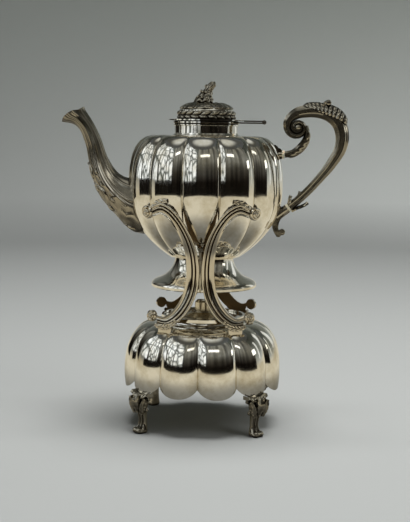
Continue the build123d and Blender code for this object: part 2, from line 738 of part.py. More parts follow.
# Handle: the grip with its volute and leaf tips, and the thin arm, bored for both tenons and their pins
with BuildPart() as handle:
    add(tube_form(handle_rings(), HANDLE_SIDES, 0.0, HANDLE_SEAM))
    add(tube_form(arm_rings(), HANDLE_SIDES, 0.0, HANDLE_SEAM))
    for tips in FOOT_LEAVES:
        add(side_plate([lower_point(out, up) for out, up in tips], FOOT_LEAF_DEPTH))
    with BuildSketch(Plane.XZ):
        with Locations(VOLUTE_CENTRE):
            Circle(VOLUTE_WEB_R)
    extrude(amount=VOLUTE_WEB_DEPTH / 2, both=True)
    with BuildSketch(Plane.XZ):
        with Locations(VOLUTE_CENTRE):
            Circle(VOLUTE_EYE_R)
    extrude(amount=VOLUTE_EYE_DEPTH / 2, both=True)
    for face in (UPPER_FACE, LOWER_FACE):
        with BuildSketch(face.offset(INSULATOR_THICKNESS)):
            Circle(TENON_R + PLAY)
        extrude(amount=TENON_LENGTH + SEAT, mode=Mode.SUBTRACT)
    with BuildSketch(Plane.XZ):
        with Locations(UPPER_PINS[1], LOWER_PINS[1]):
            Circle(PIN_R + PLAY)
    extrude(amount=PIN_LENGTH, both=True, mode=Mode.SUBTRACT)
write(handle, "handle")

# Leaf over the top of the handle, ending in a curled thumb rest
with BuildPart() as handle_leaf:
    outline = [
        upper_point(5.6, 43.4),
        upper_point(9.3, 49.0),
        upper_point(16.0, 53.3),
        upper_point(24.6, 56.9),
        upper_point(32.9, 58.1),
        upper_point(38.2, 56.9),
        upper_point(43.0, 58.3),
        upper_point(48.0, 57.6),
        upper_point(50.0, 53.6),
        upper_point(44.0, 49.4),
        upper_point(24.0, 46.0),
        upper_point(9.0, 40.0),
    ]
    add(side_plate(outline, HANDLE_LEAF_DEPTH))
    with BuildSketch(Plane.XZ):
        with Locations(upper_point(47.4, 55.2)):
            Circle(THUMB_CURL_R)
    extrude(amount=THUMB_CURL_DEPTH / 2, both=True)
    add(grip_envelope, mode=Mode.SUBTRACT)
write(handle_leaf, "handle_leaf")

# Upper socket of the handle, with a leaf on the belly and a small scroll
with BuildPart() as handle_upper_socket:
    with BuildSketch(UPPER_FACE):
        Circle(SOCKET_R)
    extrude(amount=-3 * TENON_LENGTH)
    root = [
        upper_point(-11.0, 10.0),
        upper_point(-5.6, 9.0),
        upper_point(-3.4, 5.4),
        upper_point(-2.8, 0.0),
        upper_point(-3.4, -5.4),
        upper_point(-6.0, -8.2),
        upper_point(-11.0, -8.6),
    ]
    add(side_plate(root, SOCKET_DEPTH))
    with BuildSketch(Plane.XZ):
        with Locations(upper_point(-4.0, 3.8)):
            Circle(SOCKET_SCROLL_R)
    extrude(amount=SOCKET_DEPTH / 2, both=True)
    add(belly_envelope, mode=Mode.SUBTRACT)
    with BuildSketch(UPPER_FACE):
        Circle(TENON_R + PLAY)
    extrude(amount=-TENON_LENGTH - SEAT, mode=Mode.SUBTRACT)
    with BuildSketch(Plane.XZ):
        with Locations(UPPER_PINS[0]):
            Circle(PIN_R + PLAY)
    extrude(amount=PIN_LENGTH, both=True, mode=Mode.SUBTRACT)
write(handle_upper_socket, "handle_upper_socket")

# Lower socket of the handle: a sloping sleeve and a tail that curls away from the belly
with BuildPart() as handle_lower_socket:
    with BuildSketch(LOWER_FACE):
        Circle(SOCKET_R)
    extrude(amount=-LOWER_SLEEVE_LENGTH)
    tail = [(-15.2, 3.0), (-8.0, 3.0), (-4.6, -2.0), (-4.4, -7.6), (-7.4, -12.4), (-9.2, -18.6)]
    tail += [(-8.8, -23.0), (-6.0, -28.4), (-8.6, -30.7), (-13.2, -26.8), (-15.5, -21.0), (-16.6, -12.1)]
    add(side_plate([(LOWER_SOCKET_X + across, LOWER_SOCKET_Z + rise) for across, rise in tail], SOCKET_DEPTH))
    with BuildSketch(Plane.XZ):
        with Locations((LOWER_SOCKET_X - 5.3, LOWER_SOCKET_Z - 25.2)):
            Circle(LOWER_CURL_R)
    extrude(amount=SOCKET_DEPTH / 2, both=True)
    add(belly_envelope, mode=Mode.SUBTRACT)
    with BuildSketch(LOWER_FACE):
        Circle(TENON_R + PLAY)
    extrude(amount=-TENON_LENGTH - SEAT, mode=Mode.SUBTRACT)
    with BuildSketch(Plane.XZ):
        with Locations(LOWER_PINS[0]):
            Circle(PIN_R + PLAY)
    extrude(amount=PIN_LENGTH, both=True, mode=Mode.SUBTRACT)
write(handle_lower_socket, "handle_lower_socket")

# Insulators between the sockets and the handle, each a disc with a tenon on either side
for face, spots, name in (
    (UPPER_FACE, UPPER_PINS, "upper_insulator"),
    (LOWER_FACE, LOWER_PINS, "lower_insulator"),
):
    with BuildPart() as insulator:
        with BuildSketch(face):
            Circle(INSULATOR_R)
        extrude(amount=INSULATOR_THICKNESS)
        with BuildSketch(face.offset(-TENON_LENGTH)):
            Circle(TENON_R)
        extrude(amount=INSULATOR_THICKNESS + 2 * TENON_LENGTH)
        with BuildSketch(Plane.XZ):
            with Locations(*spots):
                Circle(PIN_R + PLAY)
        extrude(amount=PIN_LENGTH, both=True, mode=Mode.SUBTRACT)
    write(insulator, name)

# Pins through the sockets, the handle and the tenons
with BuildPart() as handle_pins:
    with BuildSketch(Plane.XZ):
        with Locations(*UPPER_PINS, *LOWER_PINS):
            Circle(PIN_R)
    extrude(amount=PIN_LENGTH / 2, both=True)
write(handle_pins, "handle_pins")

# Lid: a flange, an upright wall and a low dome that is level in the middle
with BuildPart() as lid_shell:
    with BuildSketch(Plane.XZ):
        with BuildLine():
            outer = lid_arc(0.0)
            inner = lid_arc(-LID_SHEET)
            flange_top = LID_Z + LID_FLANGE_THICKNESS
            Polyline(inner[0], (inner[0][0], LID_Z), (LID_FLANGE_R, LID_Z), (LID_FLANGE_R, flange_top))
            Polyline((LID_FLANGE_R, flange_top), (LID_WALL_R, flange_top), outer[0])
            ThreePointArc(*outer)
            Polyline(outer[2], (0, LID_TOP_Z), (0, LID_TOP_Z - LID_SHEET), inner[2])
            ThreePointArc(*reversed(inner))
        make_face()
    revolve(axis=Axis.Z)
    with BuildSketch(Plane.XY.offset(LID_TOP_Z)):
        Circle(STUD_R + PLAY)
    extrude(amount=-LID_DOME_HEIGHT, mode=Mode.SUBTRACT)
write(lid_shell, "lid_shell")

# Bezel under the lid, which fits in the neck
with BuildPart() as lid_bezel:
    with BuildSketch(Plane.XY.offset(LID_Z)):
        Circle(NECK_BORE_R - BEZEL_CLEARANCE)
        Circle(NECK_BORE_R - BEZEL_CLEARANCE - BEZEL_SHEET, mode=Mode.SUBTRACT)
    extrude(amount=-BEZEL_DEPTH)
write(lid_bezel, "lid_bezel")

# Fluted band round the wall of the lid
with BuildPart() as lid_band:
    band_z = LID_Z + LID_FLANGE_THICKNESS
    crests = ((0.0, LID_BAND_R), (0.4, LID_BAND_R), (1.0, LID_BAND_R - LID_BAND_TAPER))
    rings = [(band_z + LID_BAND_HEIGHT * share, crest, crest - LID_BAND_FLUTE) for share, crest in crests]
    add(lobed_form(rings, LID_BAND_LOBES))
    with BuildSketch(Plane.XY.offset(band_z)):
        Circle(LID_WALL_R + PLAY)
    extrude(amount=LID_BAND_HEIGHT, mode=Mode.SUBTRACT)
write(lid_band, "lid_band")

# Leaves that lie over the dome of the lid
with BuildPart() as finial_leaves:
    with BuildSketch(Plane.XZ):
        with BuildLine():
            lower = lid_arc(SEAT)
            upper = lid_arc(SEAT + LID_LEAF_THICKNESS)
            ThreePointArc(*lower)
            Line(lower[2], upper[2])
            ThreePointArc(*reversed(upper))
            Line(upper[0], lower[0])
        make_face()
    revolve(axis=Axis.Z)
    with BuildSketch(Plane.XY.offset(LID_WALL_TOP_Z)):
        with BuildLine():
            petal_ring(LID_LEAF_R, LID_LEAF_NOTCH_R, LID_LEAVES)
        make_face()
        Circle(LEAF_RING_R, mode=Mode.SUBTRACT)
    extrude(amount=2 * LID_DOME_HEIGHT, mode=Mode.INTERSECT)
write(finial_leaves, "finial_leaves")

# Flower on top of the lid, leaning towards the handle, with its stud through the lid
with BuildPart() as finial_flower:
    for across, rise, crest in FINIAL_RINGS:
        with BuildSketch(Plane(origin=(across, 0, LID_TOP_Z + rise))):
            with BuildLine():
                petal_ring(crest, crest * FINIAL_FLUTE, FINIAL_PETALS)
            make_face()
    loft(ruled=True)
    with BuildSketch(Plane.XY.offset(LID_TOP_Z)):
        Circle(STUD_R)
    extrude(amount=-LID_SHEET - NUT_THICKNESS)
write(finial_flower, "finial_flower")

# Nut that holds the flower from inside the lid
with BuildPart() as finial_nut:
    with BuildSketch(Plane.XY.offset(LID_TOP_Z - LID_SHEET)):
        RegularPolygon(NUT_R, 6)
        Circle(STUD_R + PLAY, mode=Mode.SUBTRACT)
    extrude(amount=-NUT_THICKNESS)
write(finial_nut, "finial_nut")

# Hinge: the kettle's strap with the outer knuckles, the lid's strap with the middle one, and the pin
STRAP_END_X = HINGE_REACH - KNUCKLE_R - KNUCKLE_END_GAP
for name, start, base_z, outer in (
    ("hinge_strap_fixed", NECK_RIDGE_R + SEAT, HINGE_Z - STRAP_GAP / 2 - STRAP_THICKNESS, True),
    ("lid_hinge_strap", LID_FLANGE_R + SEAT, HINGE_Z + STRAP_GAP / 2, False),
):
    with BuildPart() as strap:
        with BuildSketch(Plane.XY.offset(base_z)):
            with Locations(((STRAP_END_X + NECK_R) / 2, 0)):
                Rectangle(STRAP_END_X - NECK_R, HINGE_WIDTH)
            Circle(start, mode=Mode.SUBTRACT)
            with Locations(((STRAP_END_X + HINGE_REACH) / 2, 0)):
                Rectangle(HINGE_REACH - STRAP_END_X, HINGE_WIDTH)
        extrude(amount=STRAP_THICKNESS)
        with BuildSketch(Plane.XZ):
            with Locations((HINGE_REACH, HINGE_Z)):
                Circle(KNUCKLE_R)
        extrude(amount=HINGE_WIDTH / 2, both=True)
        reach = KNUCKLE_R + KNUCKLE_END_GAP
        if outer:
            with Locations((HINGE_REACH, 0, HINGE_Z)):
                Box(2 * reach, KNUCKLE_MID_WIDTH + 2 * KNUCKLE_SIDE_GAP, 2 * reach, mode=Mode.SUBTRACT)
        else:
            for side in (-1, 1):
                rest = (HINGE_WIDTH - KNUCKLE_MID_WIDTH) / 2 + 1
                with Locations((HINGE_REACH, side * (KNUCKLE_MID_WIDTH / 2 + rest / 2), HINGE_Z)):
                    Box(2 * reach, rest, 2 * reach, mode=Mode.SUBTRACT)
        with BuildSketch(Plane.XZ):
            with Locations((HINGE_REACH, HINGE_Z)):
                Circle(HINGE_PIN_R + PLAY)
        extrude(amount=HINGE_WIDTH, both=True, mode=Mode.SUBTRACT)
    write(strap, name)

with BuildPart() as hinge_pin:
    with BuildSketch(Plane.XZ):
        with Locations((HINGE_REACH, HINGE_Z)):
            Circle(HINGE_PIN_R)
    extrude(amount=HINGE_WIDTH / 2, both=True)
write(hinge_pin, "hinge_pin")

# Dome of the stand: a lobed shell with a scalloped edge, open above for the lamp
with BuildPart() as base_dome:
    add(lobed_form(dome_rings(0.0, 0.0), DOME_LOBES))
    add(lobed_form(dome_rings(-DOME_SHEET, 1.0), DOME_LOBES), mode=Mode.SUBTRACT)
    with BuildSketch(Plane.XY.offset(DOME_TOP_Z)):
        Circle(RING_BORE_R - LEDGE_WIDTH)
    extrude(amount=-DOME_SHOULDER_HEIGHT / 4, mode=Mode.SUBTRACT)
    reach, radius = scallop_arc()
    swing = atan2(reach, radius - SCALLOP_RISE)
    half = (reach - radius * sin(swing / 2), DOME_EDGE_Z + radius * (1 - cos(swing / 2)))
    for i in range(DOME_LOBES):
        turn = 2 * pi * i / DOME_LOBES
        outward = (cos(turn), sin(turn), 0)
        start = (outward[0] * DOME_R / 2, outward[1] * DOME_R / 2, 0)
        with BuildSketch(Plane(origin=start, x_dir=(-sin(turn), cos(turn), 0), z_dir=outward)):
            with BuildLine():
                ThreePointArc((-reach, DOME_EDGE_Z), (-half[0], half[1]), (0, DOME_EDGE_Z + SCALLOP_RISE))
                ThreePointArc((0, DOME_EDGE_Z + SCALLOP_RISE), half, (reach, DOME_EDGE_Z))
                below = DOME_EDGE_Z - SCALLOP_FLAT
                Polyline((reach, DOME_EDGE_Z), (reach, below), (-reach, below), (-reach, DOME_EDGE_Z))
            make_face()
        extrude(amount=DOME_R, mode=Mode.SUBTRACT)
write(base_dome, "base_dome")

# Neck ring on the dome, with a ledge inside
with BuildPart() as base_neck_ring:
    with BuildSketch(Plane.XZ):
        with BuildLine():
            cove_z = DOME_TOP_Z + RING_EDGE
            ThreePointArc(
                (RING_R + RING_COVE, cove_z),
                (RING_R + RING_COVE * 0.29, cove_z + RING_COVE * 0.29),
                (RING_R, cove_z + RING_COVE),
            )
            Polyline(
                (RING_R, cove_z + RING_COVE),
                (RING_R, RING_TOP_Z),
                (RING_BORE_R, RING_TOP_Z),
                (RING_BORE_R, LEDGE_Z),
                (RING_BORE_R - LEDGE_WIDTH, LEDGE_Z),
                (RING_BORE_R - LEDGE_WIDTH, DOME_TOP_Z),
                (RING_R + RING_COVE, DOME_TOP_Z),
                (RING_R + RING_COVE, cove_z),
            )
        make_face()
    revolve(axis=Axis.Z)
write(base_neck_ring, "base_neck_ring")

# Plate on the ledge, holed for the lamp
with BuildPart() as lamp_seat:
    with BuildSketch(Plane.XY.offset(LEDGE_Z)):
        Circle(RING_BORE_R - SEAT)
        Circle(LAMP_R + 2 * SEAT, mode=Mode.SUBTRACT)
    extrude(amount=LAMP_SEAT_THICKNESS)
write(lamp_seat, "lamp_seat")

# Lamp: a cup for the spirit, a top with a rim that hangs in the plate, a tube and the wick
with BuildPart() as lamp_reservoir:
    with BuildSketch(Plane.XY.offset(LAMP_Z)):
        Circle(LAMP_R)
    extrude(amount=-LAMP_DEPTH)
    fillet(lamp_reservoir.edges().group_by(Axis.Z)[0], LAMP_DEPTH / 4)
    offset(amount=-LAMP_SHEET, openings=lamp_reservoir.faces().sort_by(Axis.Z)[-1])
write(lamp_reservoir, "lamp_reservoir")

with BuildPart() as lamp_top:
    shoulder_start = LAMP_R - LAMP_SHEET
    with BuildSketch(Plane.XZ):
        with BuildLine():
            Polyline(
                (WICK_TUBE_R + PLAY, SHOULDER_Z),
                (LAMP_SHOULDER_R, SHOULDER_Z),
                (shoulder_start, LAMP_Z + LAMP_RIM_THICKNESS),
                (LAMP_RIM_R, LAMP_Z + LAMP_RIM_THICKNESS),
                (LAMP_RIM_R, LAMP_Z),
                (shoulder_start - LAMP_SHEET, LAMP_Z),
                (LAMP_SHOULDER_R - LAMP_SHEET / 2, SHOULDER_Z - LAMP_SHEET),
                (WICK_TUBE_R + PLAY, SHOULDER_Z - LAMP_SHEET),
                close=True,
            )
        make_face()
    revolve(axis=Axis.Z)
write(lamp_top, "lamp_top")

with BuildPart() as wick_tube:
    with BuildSketch(Plane.XY.offset(LAMP_Z - WICK_TUBE_DEPTH)):
        Circle(WICK_TUBE_R)
        Circle(WICK_TUBE_R - WICK_TUBE_SHEET, mode=Mode.SUBTRACT)
    extrude(amount=WICK_TUBE_DEPTH + WICK_TUBE_HEIGHT)
write(wick_tube, "wick_tube")

with BuildPart() as wick:
    wick_z = LAMP_Z - LAMP_DEPTH + LAMP_SHEET + WICK_BOTTOM_GAP
    with BuildSketch(Plane.XY.offset(wick_z)):
        Circle(WICK_TUBE_R - WICK_TUBE_SHEET - WICK_PLAY)
    extrude(amount=LAMP_Z + WICK_TUBE_HEIGHT + WICK_SHOWS - wick_z)
write(wick, "wick")

# Cap over the wick
with BuildPart() as lamp_cap:
    with BuildSketch(Plane.XY.offset(SHOULDER_Z + SEAT)):
        Circle(CAP_R)
    extrude(amount=CAP_HEIGHT)
    chamfer(lamp_cap.edges().group_by(Axis.Z)[-1], CAP_CHAMFER)
    offset(amount=-CAP_SHEET, openings=lamp_cap.faces().sort_by(Axis.Z)[0])
write(lamp_cap, "lamp_cap")

# Supports: reeded C-scrolls on a curved surface, each with a scroll at both ends, a leaf where it carries the
# belly and a lug down to the dome


def scroll_form(x, z, outer_r, inner_r, depth):
    """Disc or ring of a scroll, depth thick on the supports' surface."""
    with BuildPart() as scroll:
        with BuildSketch(Plane.XZ):
            with Locations((x, z)):
                Circle(outer_r)
                if inner_r:
                    Circle(inner_r, mode=Mode.SUBTRACT)
        extrude(amount=2 * BELLY_R)
        add(support_shell(depth), mode=Mode.INTERSECT)
    return scroll.part


def leaf_form(points, depth):
    """Leaf with a smooth outline in front view, depth thick on the supports' surface."""
    with BuildPart() as leaf:
        with BuildSketch(Plane.XZ):
            with BuildLine():
                Spline(*points, periodic=True)
            make_face()
        extrude(amount=2 * BELLY_R)
        add(support_shell(depth), mode=Mode.INTERSECT)
    return leaf.part


def scroll_steps(x, z, scroll_r):
    """The disc, rim and eye of a scroll."""
    depth = SUPPORT_PLATE + SCROLL_RISE
    rim_r = scroll_r - SCROLL_RIM_WIDTH
    return [
        scroll_form(x, z, scroll_r, 0.0, depth),
        scroll_form(x, z, scroll_r, rim_r, depth + SCROLL_RIM_RISE),
        scroll_form(x, z, SCROLL_EYE_R, 0.0, depth + SCROLL_EYE_RISE),
    ]


# Outlines of its leaves, across and up from the middle of the scroll beside each
UPPER_LEAF = [(-5.2, -4.6), (-12.0, -2.4), (-17.4, -4.6), (-20.8, 3.0)]
UPPER_LEAF += [(-20.4, 12.6), (-15.6, 14.2), (-9.6, 11.4), (-4.0, 8.4)]
LOWER_LEAF = [(-26.0, -0.6), (-22.6, -6.6), (-16.0, -11.4), (-9.0, -13.0), (-3.4, -11.4)]
LOWER_LEAF += [(-1.2, -6.0), (-8.0, -3.0), (-17.0, -1.6)]
LUG_TOP_Z = LOWER_SCROLL_Z - LOWER_SCROLL_R - 1.6

support_parts = [band_form(0.0, 1.0, SUPPORT_PLATE)]
support_parts += [band_form(first, last, SUPPORT_PLATE + REED_RISE) for first, last in REEDS]
support_parts += scroll_steps(UPPER_SCROLL_X, UPPER_SCROLL_Z, UPPER_SCROLL_R)
support_parts += scroll_steps(LOWER_SCROLL_X, LOWER_SCROLL_Z, LOWER_SCROLL_R)
upper_leaf = [(UPPER_SCROLL_X + across, UPPER_SCROLL_Z + rise) for across, rise in UPPER_LEAF]
lower_leaf = [(LOWER_SCROLL_X + across, LOWER_SCROLL_Z + rise) for across, rise in LOWER_LEAF]
support_parts.append(leaf_form(upper_leaf, SUPPORT_PLATE + LEAF_RISE))
support_parts.append(leaf_form(lower_leaf, SUPPORT_PLATE + LEAF_RISE))
with BuildPart() as lug:
    with BuildSketch(Plane.XZ.offset(SUPPORT_R / 2)):
        with Locations((LUG_X, (LUG_TOP_Z + DOME_MID_Z) / 2)):
            Rectangle(LUG_WIDTH, LUG_TOP_Z - DOME_MID_Z)
    extrude(amount=2 * BELLY_R)
    add(support_shell(SUPPORT_PLATE), mode=Mode.INTERSECT)
support_parts.append(lug.part)

with BuildPart() as support_form:
    for form in support_parts:
        add(form)
    add(belly_envelope, mode=Mode.SUBTRACT)
    add(dome_envelope, mode=Mode.SUBTRACT)

for name, mirrors in (
    ("bracket_front_right", ()),
    ("bracket_front_left", (Plane.YZ,)),
    ("bracket_rear_right", (Plane.XZ,)),
    ("bracket_rear_left", (Plane.YZ, Plane.XZ)),
):
    with BuildPart() as bracket:
        add(support_form.part)
        for plane in mirrors:
            mirror(about=plane, mode=Mode.REPLACE)
    write(bracket, name)

# Clasps that join each pair of supports at the waist
with BuildPart() as clasp_form:
    with BuildSketch(Plane.XZ):
        with Locations((0, WAIST_Z)):
            Rectangle(2 * (WAIST_GAP - SEAT), CLASP_LENGTH)
        with Locations((0, WAIST_Z + CLASP_LENGTH / 2)):
            Circle(CLASP_BEAD_R)
    extrude(amount=2 * BELLY_R)
    add(support_shell(CLASP_THICKNESS), mode=Mode.INTERSECT)
for name, mirrors in (("waist_clasp_front", ()), ("waist_clasp_rear", (Plane.XZ,))):
    with BuildPart() as clasp:
        add(clasp_form.part)
        for plane in mirrors:
            mirror(about=plane, mode=Mode.REPLACE)
    write(clasp, name)

# Feet: scrolled legs under four of the lobes, made from a front and a side silhouette
def under_lobe(across):
    """Height just under the scalloped edge of a lobe, at a distance across from the lobe's middle."""
    radius = scallop_arc()[1]
    return DOME_EDGE_Z + radius - SEAT - (radius**2 - max(0.0, across - SCALLOP_FLAT) ** 2) ** 0.5


FRONT_HALF = [(15.2, -1.6), (14.0, -4.0), (11.6, -6.2), (9.2, -8.0), (11.8, -11.0), (12.4, -16.0)]
FRONT_HALF += [(9.4, -19.0), (6.8, -22.0), (5.9, -29.0), (6.4, -35.0), (7.6, -38.4), (7.0, -DOME_EDGE_Z)]
SIDE_OUTER = [(3.2, 4.6), (5.6, -3.2), (4.6, -11.4), (1.8, -21.4), (0.0, -29.4), (2.2, -36.0), (6.4, -38.6)]
SIDE_OUTER += [(5.4, -DOME_EDGE_Z)]
SIDE_INNER = [(-4.6, -DOME_EDGE_Z), (-5.6, -37.4), (-5.2, -29.4), (-4.2, -19.4), (-4.6, -9.4), (-5.6, 4.6)]

with BuildPart() as foot_form:
    with BuildSketch(Plane.YZ.offset(DOME_R / 2)):
        with BuildLine():
            right = [(across, DOME_EDGE_Z + rise) for across, rise in FRONT_HALF]
            left = [(-across, height) for across, height in reversed(right)]
            crown = (FOOT_TOP_REACH, under_lobe(FOOT_TOP_REACH))
            top_middle = (FOOT_TOP_REACH + SCALLOP_FLAT) / 2
            middle = (top_middle, under_lobe(top_middle))
            flat = (SCALLOP_FLAT, under_lobe(0.0))
            Line((-flat[0], flat[1]), flat)
            ThreePointArc(flat, middle, crown)
            Spline(crown, *right)
            Line(right[-1], left[0])
            Spline(*left, (-crown[0], crown[1]))
            ThreePointArc((-crown[0], crown[1]), (-middle[0], middle[1]), (-flat[0], flat[1]))
        make_face()
    extrude(amount=DOME_R)
    with BuildSketch(Plane.XZ):
        with BuildLine():
            outer = [(FOOT_AXIS_R + out, DOME_EDGE_Z + rise) for out, rise in SIDE_OUTER]
            inner = [(FOOT_AXIS_R + out, DOME_EDGE_Z + rise) for out, rise in SIDE_INNER]
            Spline(*outer)
            Line(outer[-1], inner[0])
            Spline(*inner)
            Line(inner[-1], outer[0])
        make_face()
    extrude(amount=DOME_R, both=True, mode=Mode.INTERSECT)
    for out, height, scroll_r, width in (
        (4.8, TOE_SCROLL_R, TOE_SCROLL_R, TOE_SCROLL_WIDTH),
        (4.0, DOME_EDGE_Z - 6.6, KNEE_SCROLL_R, KNEE_SCROLL_WIDTH),
    ):
        with BuildSketch(Plane.XZ):
            with Locations((FOOT_AXIS_R + out, height)):
                Circle(scroll_r)
        extrude(amount=width / 2, both=True)
for i, name in enumerate(("foot_rear_right", "foot_rear_left", "foot_front_left", "foot_front_right")):
    with BuildPart() as foot:
        add(foot_form.part, rotation=(0, 0, (i + 0.5) * 360 / FEET))
    write(foot, name)
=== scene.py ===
import json
import logging
import math
from dataclasses import dataclass, field
from enum import Enum
from typing import Callable, ClassVar, Sequence

import bpy
import numpy as np
from mathutils import Matrix, Vector


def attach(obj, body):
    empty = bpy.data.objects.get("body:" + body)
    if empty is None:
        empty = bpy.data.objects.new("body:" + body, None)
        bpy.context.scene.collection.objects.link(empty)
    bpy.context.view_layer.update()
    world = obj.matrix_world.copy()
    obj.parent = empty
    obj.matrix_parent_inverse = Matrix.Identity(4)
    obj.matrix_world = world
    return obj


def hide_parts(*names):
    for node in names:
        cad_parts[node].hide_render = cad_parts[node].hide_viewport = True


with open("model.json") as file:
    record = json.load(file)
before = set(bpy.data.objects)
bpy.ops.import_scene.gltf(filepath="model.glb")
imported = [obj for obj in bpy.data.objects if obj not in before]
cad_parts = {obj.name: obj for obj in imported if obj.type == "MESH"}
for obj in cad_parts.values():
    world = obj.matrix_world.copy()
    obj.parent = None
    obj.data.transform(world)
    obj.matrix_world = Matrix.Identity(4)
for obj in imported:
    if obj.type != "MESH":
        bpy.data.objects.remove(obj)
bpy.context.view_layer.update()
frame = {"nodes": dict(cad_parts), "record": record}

log = logging.getLogger("kettle")
MM = 0.001
PER_MM = (1000, 1000, 1000)  # scales places so that a pattern has its real size in millimetres
LEAF_SLANT = 0.9  # how far a leaf's side lobes slant towards its tip, in lobes
BLADE_POINTS = 13
ROD_POINTS = 12
ROD_RINGS = 26  # rings in each turn of a scroll
Y_AXIS = np.array([0.0, 1.0, 0.0])
FLIP_X = Matrix.Scale(-1, 4, (1, 0, 0))
FLIP_Y = Matrix.Scale(-1, 4, (0, 1, 0))

Array = np.ndarray
Material = bpy.types.Material
Obj = bpy.types.Object
Relief = Callable[[Array, Array], Array]
Row = Sequence[float]
Socket = bpy.types.NodeSocket
Value = float | str | tuple | Socket


class Ends(Enum):
    """Which ends of an extruded piece get a face."""

    NONE = 0
    FIRST = 1
    BOTH = 2


def linear(code: str) -> tuple[float, float, float, float]:
    """Linear colour of an sRGB hex code.

    Args:
        code: six hex digits after a hash sign.

    Returns:
        Red, green, blue and a full alpha.
    """
    values = [int(code[i : i + 2], 16) / 255 for i in (1, 3, 5)]
    low = [v / 12.92 if v <= 0.04045 else ((v + 0.055) / 1.055) ** 2.4 for v in values]
    return (*low, 1.0)


def smooth_run(points: Sequence[Row], count: int) -> Array:
    """Spreads points evenly along a smooth curve through the given ones.

    Args:
        points: rows of values, the first two of which set the distances between them.
        count: how many rows are wanted.

    Returns:
        The rows, as an array.
    """
    rows = np.asarray(points, float)
    steps = np.linalg.norm(np.diff(rows[:, :2], axis=0), axis=1)
    places = np.concatenate([[0.0], np.cumsum(steps)])
    slopes = np.gradient(rows, places, axis=0)
    wanted = np.linspace(0, places[-1], count)
    k = np.clip(np.searchsorted(places, wanted, side="right") - 1, 0, len(places) - 2)
    gap = (places[k + 1] - places[k])[:, None]
    s = (wanted - places[k])[:, None] / gap
    first = (2 * s**3 - 3 * s**2 + 1) * rows[k] + (s**3 - 2 * s**2 + s) * gap * slopes[k]
    return first + (3 * s**2 - 2 * s**3) * rows[k + 1] + (s**3 - s**2) * gap * slopes[k + 1]


def unit(rows: Array) -> Array:
    """Rows scaled to length one."""
    return rows / np.linalg.norm(rows, axis=-1, keepdims=True)


def circle(count: int) -> Array:
    """Angles spread evenly round a circle."""
    return np.arange(count) * 2 * math.pi / count


def ring_at(radius: Array | float, turn: Array, height: Array | float, aside: float = 0.0) -> Array:
    """Points round an upright axis."""
    x = aside + radius * np.cos(turn)
    return np.stack([x, radius * np.sin(turn), np.broadcast_to(height, x.shape)], axis=1)


def side_view(run: Array) -> Array:
    """3-D points of places across and up in the side view."""
    return np.stack([run[:, 0], 0 * run[:, 0], run[:, 1]], axis=1)


def scallops(lobes: float, s: Array, power: float) -> Array:
    """Row of round lobes, from 0 between them to 1 at their tops."""
    return np.abs(np.sin(math.pi * lobes * s)) ** power


